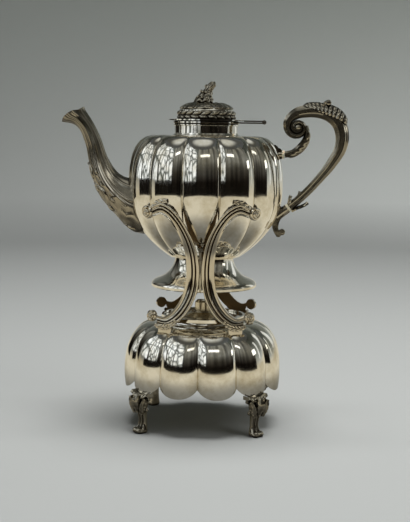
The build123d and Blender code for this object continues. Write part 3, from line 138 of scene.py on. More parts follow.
class Bench:
    """Blender's edit tools, used one after another as by hand. Sizes are in millimetres."""

    @staticmethod
    def clear() -> None:
        """Leaves edit mode with nothing selected."""
        if bpy.context.mode != "OBJECT":
            bpy.ops.object.mode_set(mode="OBJECT")
        bpy.ops.object.select_all(action="DESELECT")

    @staticmethod
    def pick(*objects: Obj) -> None:
        """Selects objects and makes the first one active."""
        Bench.clear()
        for obj in objects:
            obj.select_set(True)
        bpy.context.view_layer.objects.active = objects[0]

    @staticmethod
    def rename(obj: Obj, name: str) -> Obj:
        """Names an object and its mesh."""
        obj.name = name
        obj.data.name = name
        return obj

    @staticmethod
    def edit(obj: Obj, step: Callable[..., object], **settings: object) -> None:
        """Runs one edit tool on the whole mesh."""
        Bench.pick(obj)
        bpy.ops.object.mode_set(mode="EDIT")
        bpy.ops.mesh.select_all(action="SELECT")
        step(**settings)
        bpy.ops.object.mode_set(mode="OBJECT")

    @staticmethod
    def modify(obj: Obj, kind: str, **settings: object) -> None:
        """Adds a modifier and applies it."""
        Bench.pick(obj)
        step = obj.modifiers.new("step", kind)
        for key, value in settings.items():
            setattr(step, key, value)
        bpy.ops.object.modifier_apply(modifier=step.name)

    @staticmethod
    def extrude(name: str, rings: Sequence[Array], ends: Ends = Ends.BOTH) -> Obj:
        """Extrudes a circle ring by ring and sets every ring to its place.

        Args:
            name: of the new object.
            rings: millimetres, as (rings, points in a ring, 3).
            ends: which open ends get a face.

        Returns:
            The object, with its place in its mesh.
        """
        rings = np.asarray(rings, float)
        Bench.clear()
        bpy.ops.mesh.primitive_circle_add(vertices=rings.shape[1], radius=MM, location=(0, 0, 0))
        obj = Bench.rename(bpy.context.object, name)
        bpy.ops.object.mode_set(mode="EDIT")
        if ends is not Ends.NONE:
            bpy.ops.mesh.edge_face_add()
        for _ in rings[1:]:
            bpy.ops.mesh.extrude_edges_move(TRANSFORM_OT_translate={"value": (0, 0, MM)})
        if ends is Ends.BOTH:
            bpy.ops.mesh.edge_face_add()
        bpy.ops.object.mode_set(mode="OBJECT")
        obj.data.vertices.foreach_set("co", (rings * MM).reshape(-1).astype(np.float32))
        Bench.outward(obj)
        return obj

    @staticmethod
    def outward(obj: Obj) -> None:
        """Turns all faces outwards."""
        Bench.edit(obj, bpy.ops.mesh.normals_make_consistent, inside=False)

    @staticmethod
    def wall(obj: Obj, thickness: float) -> None:
        """Gives an open form a wall of this thickness inwards."""
        Bench.modify(obj, "SOLIDIFY", thickness=thickness * MM, offset=-1.0)

    @staticmethod
    def cut(parts: Sequence[Obj], tools: Sequence[Obj]) -> None:
        """Cuts the tools' forms out of every part, and removes the tools."""
        for part in parts:
            for tool in tools:
                Bench.modify(part, "BOOLEAN", operation="DIFFERENCE", solver="EXACT", object=tool)
        for tool in tools:
            bpy.data.objects.remove(tool)

    @staticmethod
    def shade(obj: Obj, angle: float = 40.0) -> None:
        """Shades a piece smooth, with edges above an angle left sharp."""
        Bench.pick(obj)
        bpy.ops.object.shade_smooth_by_angle(angle=math.radians(angle))

    @staticmethod
    def join(name: str, parts: Sequence[Obj]) -> Obj:
        """Joins several objects into one."""
        Bench.pick(*parts)
        bpy.ops.object.join()
        return Bench.rename(parts[0], name)

    @staticmethod
    def copy(obj: Obj, name: str, move: Matrix) -> Obj:
        """Copies a finished piece, with a mesh of its own that is turned, mirrored or moved."""
        twin = obj.copy()
        twin.data = obj.data.copy()
        Bench.rename(twin, name)
        bpy.context.scene.collection.objects.link(twin)
        twin.data.transform(move)
        if move.determinant() < 0:
            twin.data.flip_normals()
        return twin

    @staticmethod
    def turned(angle: float) -> Matrix:
        """Turn about the stand's axis, in degrees."""
        return Matrix.Rotation(math.radians(angle), 4, "Z")


class NodeTree:
    """A material's node tree, with a short way to add each kind of node."""

    def __init__(self, owner: Material | bpy.types.World) -> None:
        owner.use_nodes = True
        self.tree = owner.node_tree
        self.tree.nodes.clear()

    def node(self, kind: str, links: dict | None = None, **settings: object) -> bpy.types.Node:
        """Adds a node.

        Args:
            kind: Blender's name of the shader node type.
            links: socket, value or hex code for each input, by name or number.
            settings: the node's own properties.

        Returns:
            The new node.
        """
        node = self.tree.nodes.new("ShaderNode" + kind)
        for key, value in settings.items():
            setattr(node, key, value)
        for key, value in (links or {}).items():
            if isinstance(value, Socket):
                self.tree.links.new(value, node.inputs[key])
            else:
                node.inputs[key].default_value = linear(value) if isinstance(value, str) else value
        return node

    def add(self, kind: str, links: dict | None = None, out: int | str = 0, **settings: object) -> Socket:
        """Adds a node and returns one of its outputs."""
        return self.node(kind, links, **settings).outputs[out]

    def math(self, operation: str, *values: Value) -> Socket:
        """Figure worked out from numbers."""
        return self.add("Math", dict(enumerate(values)), operation=operation)

    def vector(self, operation: str, *values: Value, out: int | str = 0) -> Socket:
        """Figure worked out from vectors."""
        return self.add("VectorMath", dict(enumerate(values)), out, operation=operation)

    def spread(self, value: Socket, low: float, high: float, to_low: float = 0.0, to_high: float = 1.0,
               kind: str = "LINEAR") -> Socket:
        """Maps one range of a value to another, and holds it within."""
        links = {"Value": value, "From Min": low, "From Max": high, "To Min": to_low, "To Max": to_high}
        return self.add("MapRange", links, interpolation_type=kind)

    def mix(self, share: Socket, first: Value, second: Value) -> Socket:
        """Colour between two others."""
        return self.add("Mix", {0: share, 6: first, 7: second}, 2, data_type="RGBA")

    def place(self, scale: Row | None = None) -> Socket:
        """Place on the object in metres, or scaled."""
        place = self.add("TexCoord", out="Object")
        return self.add("Mapping", {"Vector": place, "Scale": scale}) if scale else place

    def axis(self, vector: Socket, name: str) -> Socket:
        """One of a vector's three values."""
        return self.add("SeparateXYZ", {0: vector}, name)

    def noise(self, place: Socket, scale: float, detail: float, roughness: float = 0.5) -> Socket:
        """Cloudy noise."""
        links = {"Vector": place, "Scale": scale, "Detail": detail, "Roughness": roughness}
        return self.add("TexNoise", links, "Fac")

    def glow(self, colour: Value, strength: Value) -> Socket:
        """Unlit surface."""
        return self.add("Emission", {"Color": colour, "Strength": strength})


def painted(name: str, surface: Callable[[NodeTree], Socket]) -> Material:
    """Makes a material from a function that adds the nodes of its surface."""
    material = bpy.data.materials.new(name)
    nodes = NodeTree(material)
    nodes.node("OutputMaterial", {"Surface": surface(nodes)})
    return material


@dataclass(frozen=True)
class SilverFinish:
    """Polished silver, which mirrors the room, with tarnish left where no cloth reaches, and, where set,
    tarnish with painted shade on faces turned downwards.
    """

    name: str
    polished: str = "#F3EFE6"
    worn: str = "#CFC3A6"
    tarnish: str = "#4A3F31"
    roughness: float = 0.05
    dull_roughness: float = 0.32
    dent_size: float = 26.0
    dent_depth: float = 0.10
    grain_size: float = 0.9
    grain_depth: float = 0.004
    hollow_reach: float = 3.0
    tarnish_from: float = 0.30
    tarnish_to: float = 0.72
    patches: float = 0.3
    ridge_gain: float = 0.0
    brown_back: bool = False
    tarnish_and_shade_below: bool = False
    # worn patches: their size, range of the noise, what they add to the roughness and to the open share
    patch_size: ClassVar[float] = 24.0
    patch_range: ClassVar[tuple] = (0.42, 0.74)
    patch_roughness: ClassVar[float] = 0.07
    patch_share: ClassVar[tuple] = (0.30, -0.15)
    # how far a face may turn to the axis before no cloth reaches it, and how far downwards before it darkens
    # with tarnish and painted shade
    back_range: ClassVar[tuple] = (-0.45, -0.1)
    tarnish_and_shade_range: ClassVar[tuple] = (-0.8, -0.05, 0.15)

    def surface(self, nodes: NodeTree) -> Socket:
        """Adds the metal's nodes."""
        place, mapped = nodes.place(), nodes.place(PER_MM)
        dents = nodes.noise(mapped, 1 / self.dent_size, 1.0)
        grain = nodes.noise(mapped, 1 / self.grain_size, 3.0)
        wear = nodes.noise(mapped, 1 / self.patch_size, 5.0, 0.6)
        hollow = nodes.add("AmbientOcclusion", {"Distance": self.hollow_reach * MM}, "AO", samples=8)
        open_share = nodes.math("ADD", hollow, nodes.math("MULTIPLY_ADD", wear, *self.patch_share))
        if self.ridge_gain:
            # ridges are rubbed bright and the valleys between them keep their tarnish
            sharp = nodes.add("NewGeometry", out="Pointiness")
            ridge = nodes.math("MULTIPLY_ADD", sharp, self.ridge_gain, -0.5 * self.ridge_gain)
            open_share = nodes.math("ADD", open_share, ridge)
        clean_and_unshaded = nodes.spread(open_share, self.tarnish_from, self.tarnish_to, kind="SMOOTHSTEP")
        patch = nodes.spread(wear, *self.patch_range, 0.0, self.patches)
        bright = nodes.mix(patch, self.polished, self.worn)
        facing = nodes.add("NewGeometry", out="Normal")
        if self.brown_back:
            radial = nodes.vector("NORMALIZE", nodes.vector("MULTIPLY", place, (1, 1, 0)))
            outwards = nodes.vector("DOT_PRODUCT", facing, radial, out="Value")
            clean_and_unshaded = nodes.math("MULTIPLY", clean_and_unshaded, nodes.spread(outwards, *self.back_range))
        # faces turned downwards darken: tarnish together with painted shade under the piece
        if self.tarnish_and_shade_below:
            clean_and_unshaded = nodes.math("MULTIPLY", clean_and_unshaded, nodes.spread(nodes.axis(facing, "Z"), *self.tarnish_and_shade_range))
        sheen = nodes.spread(clean_and_unshaded, 0.0, 1.0, self.dull_roughness, self.roughness)
        low = nodes.add("Bump", {"Height": dents, "Distance": self.dent_depth * MM})
        return nodes.add("BsdfPrincipled", {
            "Base Color": nodes.mix(clean_and_unshaded, self.tarnish, bright), "Metallic": 1.0,
            "Roughness": nodes.math("MULTIPLY_ADD", patch, self.patch_roughness, sheen),
            "Normal": nodes.add("Bump", {"Height": grain, "Distance": self.grain_depth * MM, "Normal": low}),
        })


@dataclass(frozen=True)
class BoneFinish:
    """Turned and polished bone, ivory pale with fine darker pores along the grain."""

    name: str = "bone_turned_polished"
    pale: str = "#E9DFC4"
    dark: str = "#B79F76"
    pores: tuple = (300, 1400, 1400)
    pore_depth: float = 0.02

    def surface(self, nodes: NodeTree) -> Socket:
        """Adds the bone's nodes."""
        pores = nodes.noise(nodes.place(self.pores), 1.0, 4.0)
        return nodes.add("BsdfPrincipled", {
            "Base Color": nodes.mix(nodes.spread(pores, 0.5, 0.8), self.pale, self.dark), "Roughness": 0.28,
            "Normal": nodes.add("Bump", {"Height": pores, "Distance": self.pore_depth * MM}), "IOR": 1.54,
            "Subsurface Weight": 0.1, "Subsurface Scale": 0.002,
        })


@dataclass(frozen=True)
class CottonFinish:
    """Plaited cotton wick, matt and off-white with painted shade in the grooves of its plait, charred at its
    tip.
    """

    name: str = "cotton_plaited"
    fibre: str = "#CFC4A8"
    # painted shade for the grooves of the plait
    shade: str = "#9C8F72"
    charred: str = "#2A241E"
    strand: float = 1.1
    plait_depth: float = 0.3
    char_heights: tuple = (0.1305, 0.1333)  # metres

    def surface(self, nodes: NodeTree) -> Socket:
        """Adds the cotton's nodes."""
        plait = nodes.add("TexWave", {
            "Vector": nodes.place(PER_MM), "Scale": 1 / self.strand / 2, "Distortion": 1.5, "Detail": 2.0,
        }, "Fac", bands_direction="DIAGONAL")
        burnt = nodes.spread(nodes.axis(nodes.place(), "Z"), *self.char_heights)
        # painted shade: darker where the plait's bump is low
        cloth = nodes.mix(plait, self.shade, self.fibre)
        return nodes.add("BsdfPrincipled", {
            "Base Color": nodes.mix(burnt, cloth, self.charred), "Roughness": 0.9, "IOR": 1.5,
            "Normal": nodes.add("Bump", {"Height": plait, "Distance": self.plait_depth * MM}),
        })


class Finishes:
    """Every finish of the kettle, made once."""

    def __init__(self) -> None:
        # Silver sheet, hand raised and polished: wide soft waves bend its mirror image
        self.raised = self.make(SilverFinish(
            "silver_raised_polished", worn="#AE9E77", roughness=0.07, dent_depth=0.24, patches=0.7))
        # Cast silver, chased: bright on its ridges and brown with tarnish in its hollows, and darker on faces
        # turned downwards, as tarnish with painted shade
        self.cast = self.make(SilverFinish(
            "silver_cast_chased", "#BDB5A4", "#776C5A", "#1D1710", 0.12, 0.38, dent_size=6.0,
            grain_size=0.7, grain_depth=0.012, hollow_reach=4.0, tarnish_from=0.66, tarnish_to=1.2,
            ridge_gain=5.0, tarnish_and_shade_below=True))
        # Cast silver of the supports, rubbed bright on its face, brown on its back
        self.rubbed = self.make(SilverFinish(
            "silver_cast_rubbed", "#D6CDBB", "#A3967C", "#7E694B", 0.10, 0.45, dent_size=8.0, dent_depth=0.08,
            grain_size=0.7, grain_depth=0.008, hollow_reach=1.6, tarnish_from=0.35, tarnish_to=0.85,
            ridge_gain=2.0, brown_back=True))
        # Cast silver of the spout: polished panels with tarnish left along their ridges, and darker on faces
        # turned downwards, as tarnish with painted shade
        self.spout = self.make(SilverFinish(
            "silver_cast_polished", "#B5AD9D", "#6F6657", "#1E1913", 0.10, 0.35, dent_size=9.0,
            grain_size=0.8, grain_depth=0.008, hollow_reach=1.6, tarnish_from=0.62, tarnish_to=1.15,
            ridge_gain=5.0, tarnish_and_shade_below=True))
        # Silver fittings, filed and worn by use: a softer gloss
        self.fittings = self.make(SilverFinish(
            "silver_filed_worn", worn="#B9AB8E", tarnish="#3A3025", roughness=0.16, dent_size=4.0,
            dent_depth=0.03, hollow_reach=1.5))
        # Spun silver of the lamp, dulled by heat: yellowish and less sharp
        self.lamp = self.make(SilverFinish(
            "silver_spun_heat_dulled", "#DDD3BC", "#A8946C", "#3B2F22", 0.2, dent_size=14.0, dent_depth=0.05))
        self.bone = self.make(BoneFinish())
        self.cotton = self.make(CottonFinish())

    @staticmethod
    def make(finish: SilverFinish | BoneFinish | CottonFinish) -> Material:
        """Makes a finish's material."""
        return painted(finish.name, finish.surface)

    def dress_cad(self) -> None:
        """Dresses every CAD node by its slot in the record; those without a model of their own show so."""
        by_slot = {
            "raised_silver": self.raised, "cast_silver": self.cast, "silver_fittings": self.fittings,
            "lamp_silver": self.lamp, "bone": self.bone, "cotton": self.cotton,
        }
        for part in frame["record"]["subparts"]:
            dress(frame["nodes"][part["node"]], by_slot[part["material_slot"]])


def dress(obj: Obj, material: Material) -> None:
    """Puts one material on a piece."""
    obj.data.materials.clear()
    obj.data.materials.append(material)


@dataclass
class LobedSkin:
    """A melon-lobed skin of revolution, with arcs between the grooves."""

    lobes: int
    steps: int
    shift: float = 0.0  # share of a lobe by which the first groove lies before the X axis
    softness: float = 0.06
    arch: ClassVar[float] = 2.2
    fullness: ClassVar[float] = 0.82

    def __post_init__(self) -> None:
        """Works out the angles round the axis, the place within each lobe and the share of its crest."""
        self.turn = circle(self.lobes * self.steps)
        self.within = ((self.turn * self.lobes / (2 * math.pi) + self.shift) % 1.0) * 2 - 1
        edge = np.sqrt(self.within**2 + self.softness**2) / math.sqrt(1 + self.softness**2)
        self.crest = (1 - edge**self.arch) ** self.fullness

    def ring(self, radius: float, flute: float, height: float) -> Array:
        """One ring of the skin, with its crests at the radius and its grooves a flute's depth below."""
        half = math.pi / self.lobes
        groove = radius - flute
        chord = groove * math.cos(half) / np.cos(self.within * half)
        return ring_at(chord + (radius - groove * math.cos(half)) * self.crest, self.turn, height)


@dataclass
class LobedShell:
    """A lobed sheet: widest at its middle height, round over the shoulder to its crown, open at its mouth."""

    skin: LobedSkin
    radius: float
    crown_radius: float
    mouth_radius: float
    middle: float
    top: float
    flute: float
    flute_top: float
    flute_fade: float
    shoulder: float
    sheet: float
    levels: int
    dip: float = 0.0
    sharp_angle: ClassVar[float] = 50.0

    def crest(self, z: float) -> float:
        """Radius of the crests at a height above the middle."""
        rise = min(1.0, (z - self.middle) / (self.top - self.middle))
        swell = (1 - rise**self.shoulder) ** (1 / self.shoulder)
        return self.crown_radius + (self.radius - self.crown_radius) * swell

    def depth(self, z: float) -> float:
        """Depth of the grooves at a height."""
        rise = max(0.0, (z - self.middle) / (self.top - self.middle))
        return self.flute - (self.flute - self.flute_top) * rise**self.flute_fade

    def ring(self, z: float, grow: float = 0.0) -> Array:
        """The ring at a height, grown outwards."""
        return self.skin.ring(self.crest(z) + grow, self.depth(z), z)

    def upper(self, grow: float = 0.0) -> list[Array]:
        """Rings from the widest place up to the crown."""
        turns = np.linspace(0, math.pi / 2, self.levels)
        return [self.ring(self.middle + (self.top - self.middle) * math.sin(a), grow) for a in turns]

    def crown(self, shares: Row) -> list[Array]:
        """Rings over the crown to the mouth, where the grooves run out."""
        rings = []
        for share in shares:
            r = self.crown_radius + (self.mouth_radius - self.crown_radius) * share
            ring = self.skin.ring(r, self.flute_top * (1 - share), self.top)
            ring[:, 2] -= self.dip * (1 - share) * (1 - self.skin.crest)
            rings.append(ring)
        return rings

    def raise_sheet(self, name: str, rings: list[Array], ends: Ends, finishes: Finishes) -> Obj:
        """The finished sheet from its outer rings."""
        shell = Bench.extrude(name, rings, ends)
        Bench.wall(shell, self.sheet)
        Bench.shade(shell, self.sharp_angle)
        dress(shell, finishes.raised)
        log.info("%s: %d faces", name, len(shell.data.polygons))
        return shell


@dataclass
class KettleBelly(LobedShell):
    """The kettle's belly: raised from sheet, open at the neck."""

    skin: LobedSkin = field(default_factory=lambda: LobedSkin(12, 20, 0.5))
    radius: float = 82.6
    crown_radius: float = 52.0
    mouth_radius: float = 32.4
    middle: float = 256.0
    top: float = 310.0
    flute: float = 6.2
    flute_top: float = 5.4
    flute_fade: float = 6
    shoulder: float = 2.6
    sheet: float = 1.2
    levels: int = 20
    dip: float = 2.2
    bottom: float = 181.0
    bowl_drop: float = 93.0
    flute_bottom: float = 1.6

    def crest(self, z: float) -> float:
        """Radius of the crests at a height."""
        if z > self.middle:
            return super().crest(z)
        return self.radius * (1 - ((self.middle - z) / self.bowl_drop) ** 2.3) ** (1 / 1.2)

    def depth(self, z: float) -> float:
        """Depth of the grooves at a height."""
        if z > self.middle:
            return super().depth(z)
        drop = (self.middle - z) / (self.middle - self.bottom)
        return self.flute - (self.flute - self.flute_bottom) * drop**2

    def rings(self, grow: float = 0.0) -> list[Array]:
        """Rings from the bottom up over the shoulder to the neck, grown outwards."""
        bowl = [self.ring(z, grow) for z in np.linspace(self.bottom, self.middle, self.levels)[:-1]]
        return bowl + self.upper(grow) + self.crown((0.2, 0.45, 0.7, 1.0))

    def solid(self, name: str, grow: float = 0.0) -> Obj:
        """The belly's closed outer form, for cutting what meets it."""
        return Bench.extrude(name, self.rings(grow))

    def build(self, finishes: Finishes) -> None:
        """Models the belly in place of its plain node."""
        belly = self.raise_sheet("belly_raised", self.rings(), Ends.FIRST, finishes)
        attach(belly, "kettle")
        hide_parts("kettle_body")


@dataclass
class StandDome(LobedShell):
    """The stand's lobed dome with its scalloped edge."""

    skin: LobedSkin = field(default_factory=lambda: LobedSkin(12, 18))
    radius: float = 85.3
    crown_radius: float = 50.0
    mouth_radius: float = 40.6
    middle: float = 58.0
    top: float = 110.5
    flute: float = 5.6
    flute_top: float = 3.4
    flute_fade: float = 1.6
    shoulder: float = 2.3
    sheet: float = 1.4
    levels: int = 22
    skirt_radius: float = 83.9
    edge: float = 41.5
    scallop_rise: float = 10.0
    scallop_flat: float = 1.3

    def crest(self, z: float) -> float:
        """Radius of the crests at a height."""
        if z > self.middle:
            return super().crest(z)
        drop = (self.middle - z) / (self.middle - self.edge)
        return self.radius - (self.radius - self.skirt_radius) * drop**2

    def edge_heights(self) -> Array:
        """Height of the scalloped edge round the dome."""
        reach = self.skirt_radius * math.sin(math.pi / self.skin.lobes) - self.scallop_flat
        arc = (reach**2 + self.scallop_rise**2) / (2 * self.scallop_rise)
        across = self.skirt_radius * np.sin(np.abs(self.skin.within) * math.pi / self.skin.lobes)
        side = np.clip(across - self.scallop_flat, 0.0, reach)
        return self.edge + arc - np.sqrt(arc**2 - side**2)

    def solid(self, name: str, grow: float) -> Obj:
        """The closed outer form above the dome's widest place, for cutting what stands on it."""
        rings = self.upper(grow)
        return Bench.extrude(name, [*rings, rings[-1] + [0, 0, grow]])

    def build(self, finishes: Finishes) -> None:
        """Models the dome in place of its plain node."""
        low = self.edge_heights()
        skirt = [low + (self.middle - low) * share for share in np.linspace(0, 1, 9)[:-1]]
        rings = [np.array([self.ring(h)[i] for i, h in enumerate(heights)]) for heights in skirt]
        rings += self.upper() + self.crown((0.35, 0.7, 1.0))
        dome = self.raise_sheet("dome_raised", rings, Ends.NONE, finishes)
        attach(dome, "stand")
        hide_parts("base_dome")


def panelled(sides: int, per_side: int, seam: float, roundness: float) -> tuple[Array, Array]:
    """Section of a panelled tube.

    Args:
        sides: how many panels it has.
        per_side: points across each panel.
        seam: angle of the first corner, in degrees.
        roundness: share by which the flat panels swell to a circle.

    Returns:
        Unit section points, and how near each is to a corner, from 0 to 1.
    """
    within = (np.arange(sides * per_side) % per_side) / per_side * 2 - 1
    flat = math.cos(math.pi / sides) / np.cos(within * math.pi / sides)
    radius = flat + (1 - flat) * roundness
    ridge = np.exp(-(((1 - np.abs(within)) / 0.22) ** 2))
    return ring_at(radius, np.radians(seam) + circle(sides * per_side), 0.0)[:, :2], ridge


def wrapped(middle: Array, across: Array, thick: Value, deep: Value, phi: Array, rise: Value) -> Array:
    """Points round a section at angles from one of its directions, raised off it."""
    n = np.cos(phi) * (thick / 2 + rise)
    d = np.sin(phi) * (deep / 2 + rise)
    return middle + across * n[..., None] + Y_AXIS * d[..., None]


@dataclass
class FlatRun:
    """A run in the plane of the spout and the handle: place, thickness and depth along it."""

    rows: Array
    leaf_gap: ClassVar[float] = 0.1
    leaf_points: ClassVar[int] = 25

    def __post_init__(self) -> None:
        """Works out the places, and the direction across the run in its plane."""
        self.places = side_view(self.rows)
        along = unit(np.gradient(self.places, axis=0))
        self.across = np.stack([-along[:, 2], 0 * along[:, 0], along[:, 0]], axis=1)

    def tube(self, section: Array, ridge: Array, bead: float | Array) -> Array:
        """Rings of a tube along the run, with a bead of this rise at its corners."""
        rise = (np.broadcast_to(bead, len(self.rows))[:, None] * ridge)[..., None]
        out = unit(section)
        x, y = (section[:, k, None] * self.rows[:, 3 - k, None, None] / 2 + out[:, k, None] * rise
                for k in (0, 1))
        return self.places[:, None] + Y_AXIS * x + self.across[:, None] * y

    def sheath(self, wrap: Array, relief: Relief, sign: float) -> Array:
        """Rings of a leaf that lies round one side of the run.

        Args:
            wrap: half the angle that the leaf reaches round, in radians, along the run.
            relief: rise of its face from the share along it and the place across it from -1 to 1.
            sign: 1 for the side across the run, -1 for the other.

        Returns:
            The rings, each over the face and back along the underside.
        """
        q = np.linspace(-1, 1, self.leaf_points)
        face = relief(np.linspace(0, 1, len(self.rows))[:, None], q[None, :])
        thick, deep = self.rows[:, 2, None], self.rows[:, 3, None]
        core = (self.places[:, None], sign * self.across[:, None], thick, deep, wrap[:, None] * q)
        top, under = (wrapped(*core, rise) for rise in (face, self.leaf_gap))
        return np.concatenate([top, under[:, ::-1]], axis=1)


def acanthus(lobes: float, rise: float, edge: float = 0.35) -> Relief:
    """Relief of a chased leaf with a rib, and side lobes that slant towards its tip.

    Args:
        lobes: side lobes along the leaf.
        rise: height of the ribs in millimetres.
        edge: share of the rise that is left at the leaf's edge.

    Returns:
        A function of the share along the leaf and the place across it.
    """

    def relief(s: Array, q: Array) -> Array:
        phase = np.abs(np.sin(math.pi * (lobes * s + LEAF_SLANT * np.abs(q))))
        rib = np.exp(-((q / 0.14) ** 2))
        fall = 1 - (1 - edge) * np.abs(q) ** 3
        ends = np.clip(np.minimum(s, 1 - s) * 12, 0, 1)
        return 0.15 + rise * (0.35 + 0.65 * np.maximum(phase**0.7, rib)) * fall * ends

    return relief


def scalloped(length: int, lobes: float, low: float, high: float, depth: float) -> Array:
    """Half angles along a leaf that widen from low to high and back, with a lobed edge."""
    s = np.linspace(0, 1, length)
    body = low + (high - low) * np.sin(math.pi * s) ** 0.6
    return body * (1 - depth * (1 - scallops(lobes, s, 0.6)))


def spiral_rod(name: str, middle: Row, axes: Sequence[Row], radius: float, turns: float, shrink: float,
               start: float, rise: float, rod: float = 0.30, sense: int = 1) -> Obj:
    """A scroll: a tapering rod wound in a spiral that rises towards its eye.

    Args:
        name: of the piece.
        middle: of the spiral, in millimetres.
        axes: the two directions of its plane and the one it rises in.
        radius: from the middle to the outside of the rod at its start.
        turns: how many times it goes round.
        shrink: radius left at the eye, as a share.
        start: angle at which it starts, in degrees.
        rise: of the eye above the start.
        rod: thickness of the rod as a share of the spiral's radius.
        sense: 1 for turning from the first axis to the second, -1 for the other way.

    Returns:
        The piece.
    """
    u, v, w = (np.asarray(a, float) for a in axes)
    share = np.linspace(0, 1, int(ROD_RINGS * turns))
    angle = math.radians(start) + sense * share * turns * 2 * math.pi
    thick = radius * shrink**share * rod
    r = radius * shrink**share - thick
    place = np.asarray(middle, float) + u * (r * np.cos(angle))[:, None] + v * (r * np.sin(angle))[:, None]
    place = (place + w * (rise * share**1.3)[:, None])[:, None]
    out = (u * np.cos(angle)[:, None] + v * np.sin(angle)[:, None])[:, None]
    turn = circle(ROD_POINTS)[:, None]
    return Bench.extrude(name, place + thick[:, None, None] * (np.cos(turn) * out + np.sin(turn) * w))


def spindle(name: str, middle: Row, axis: Row, profile: Sequence[Row], steps: int = 24) -> Obj:
    """A small turned form about any axis, from places along it and radii."""
    w = np.asarray(axis, float) / np.linalg.norm(axis)
    u = np.cross(w, [0.0, 0.0, 1.0]) if abs(w[2]) < 0.9 else np.cross(w, [1.0, 0.0, 0.0])
    u = u / np.linalg.norm(u)
    v = np.cross(w, u)
    rim = np.cos(circle(steps))[:, None] * u + np.sin(circle(steps))[:, None] * v
    middle = np.asarray(middle, float)
    return Bench.extrude(name, [middle + w * place + radius * rim for place, radius in profile])


def mirrored(*half: Row) -> list[Row]:
    """A turned profile that is the same on both sides of its middle."""
    return [*half, *((-place, radius) for place, radius in half[::-1] if place)]


def blade(name: str, spine: Array, lateral: Array | Row, half: Array, lobes: float = 4, notch: float = 0.3,
          rise: float = 0.9, cup: float = 0.6, thickness: float = 1.0) -> Obj:
    """A free leaf along a spine, cupped, ribbed and lobed along its edges.

    Args:
        name: of the piece.
        spine: points of its middle, in millimetres.
        lateral: direction across it at each point.
        half: half of its width at each point.
        lobes: lobes along each edge.
        notch: depth of the notches between them, as a share of the width.
        rise: height of the ribs.
        cup: how far its edges fall below its middle.
        thickness: of the metal.

    Returns:
        The piece.
    """
    along = unit(np.gradient(spine, axis=0))
    lateral = np.broadcast_to(np.asarray(lateral, float), spine.shape)
    lateral = unit(lateral - (lateral * along).sum(1, keepdims=True) * along)
    up = np.cross(along, lateral)[:, None]
    s = np.linspace(0, 1, len(spine))[:, None]
    q = np.linspace(-1, 1, BLADE_POINTS)[None, :]
    width = half[:, None] * (1 - notch * (1 - scallops(lobes, s, 0.7)))
    ribs = np.abs(np.sin(math.pi * (lobes * s + 0.6 * np.abs(q)))) ** 0.8
    height = rise * np.maximum(ribs * np.abs(q) ** 0.3 * 0.8, np.exp(-((q / 0.16) ** 2))) - cup * q**2
    place = spine[:, None] + lateral[:, None] * (q * width)[..., None]
    under = place + up * (-cup * q**2 - thickness)[..., None]
    return Bench.extrude(name, np.concatenate([place + up * height[..., None], under[:, ::-1]], axis=1))


def tapering(count: int, widest: float, place: float = 0.4, root: float = 0.6, tip: float = 0.12) -> Array:
    """Half widths of a leaf from its root over its widest place to its tip."""
    rows = smooth_run([(0.0, root * widest), (place, widest), (1.0, tip * widest)], count)
    return np.clip(rows[:, 1], tip * widest * 0.5, widest)


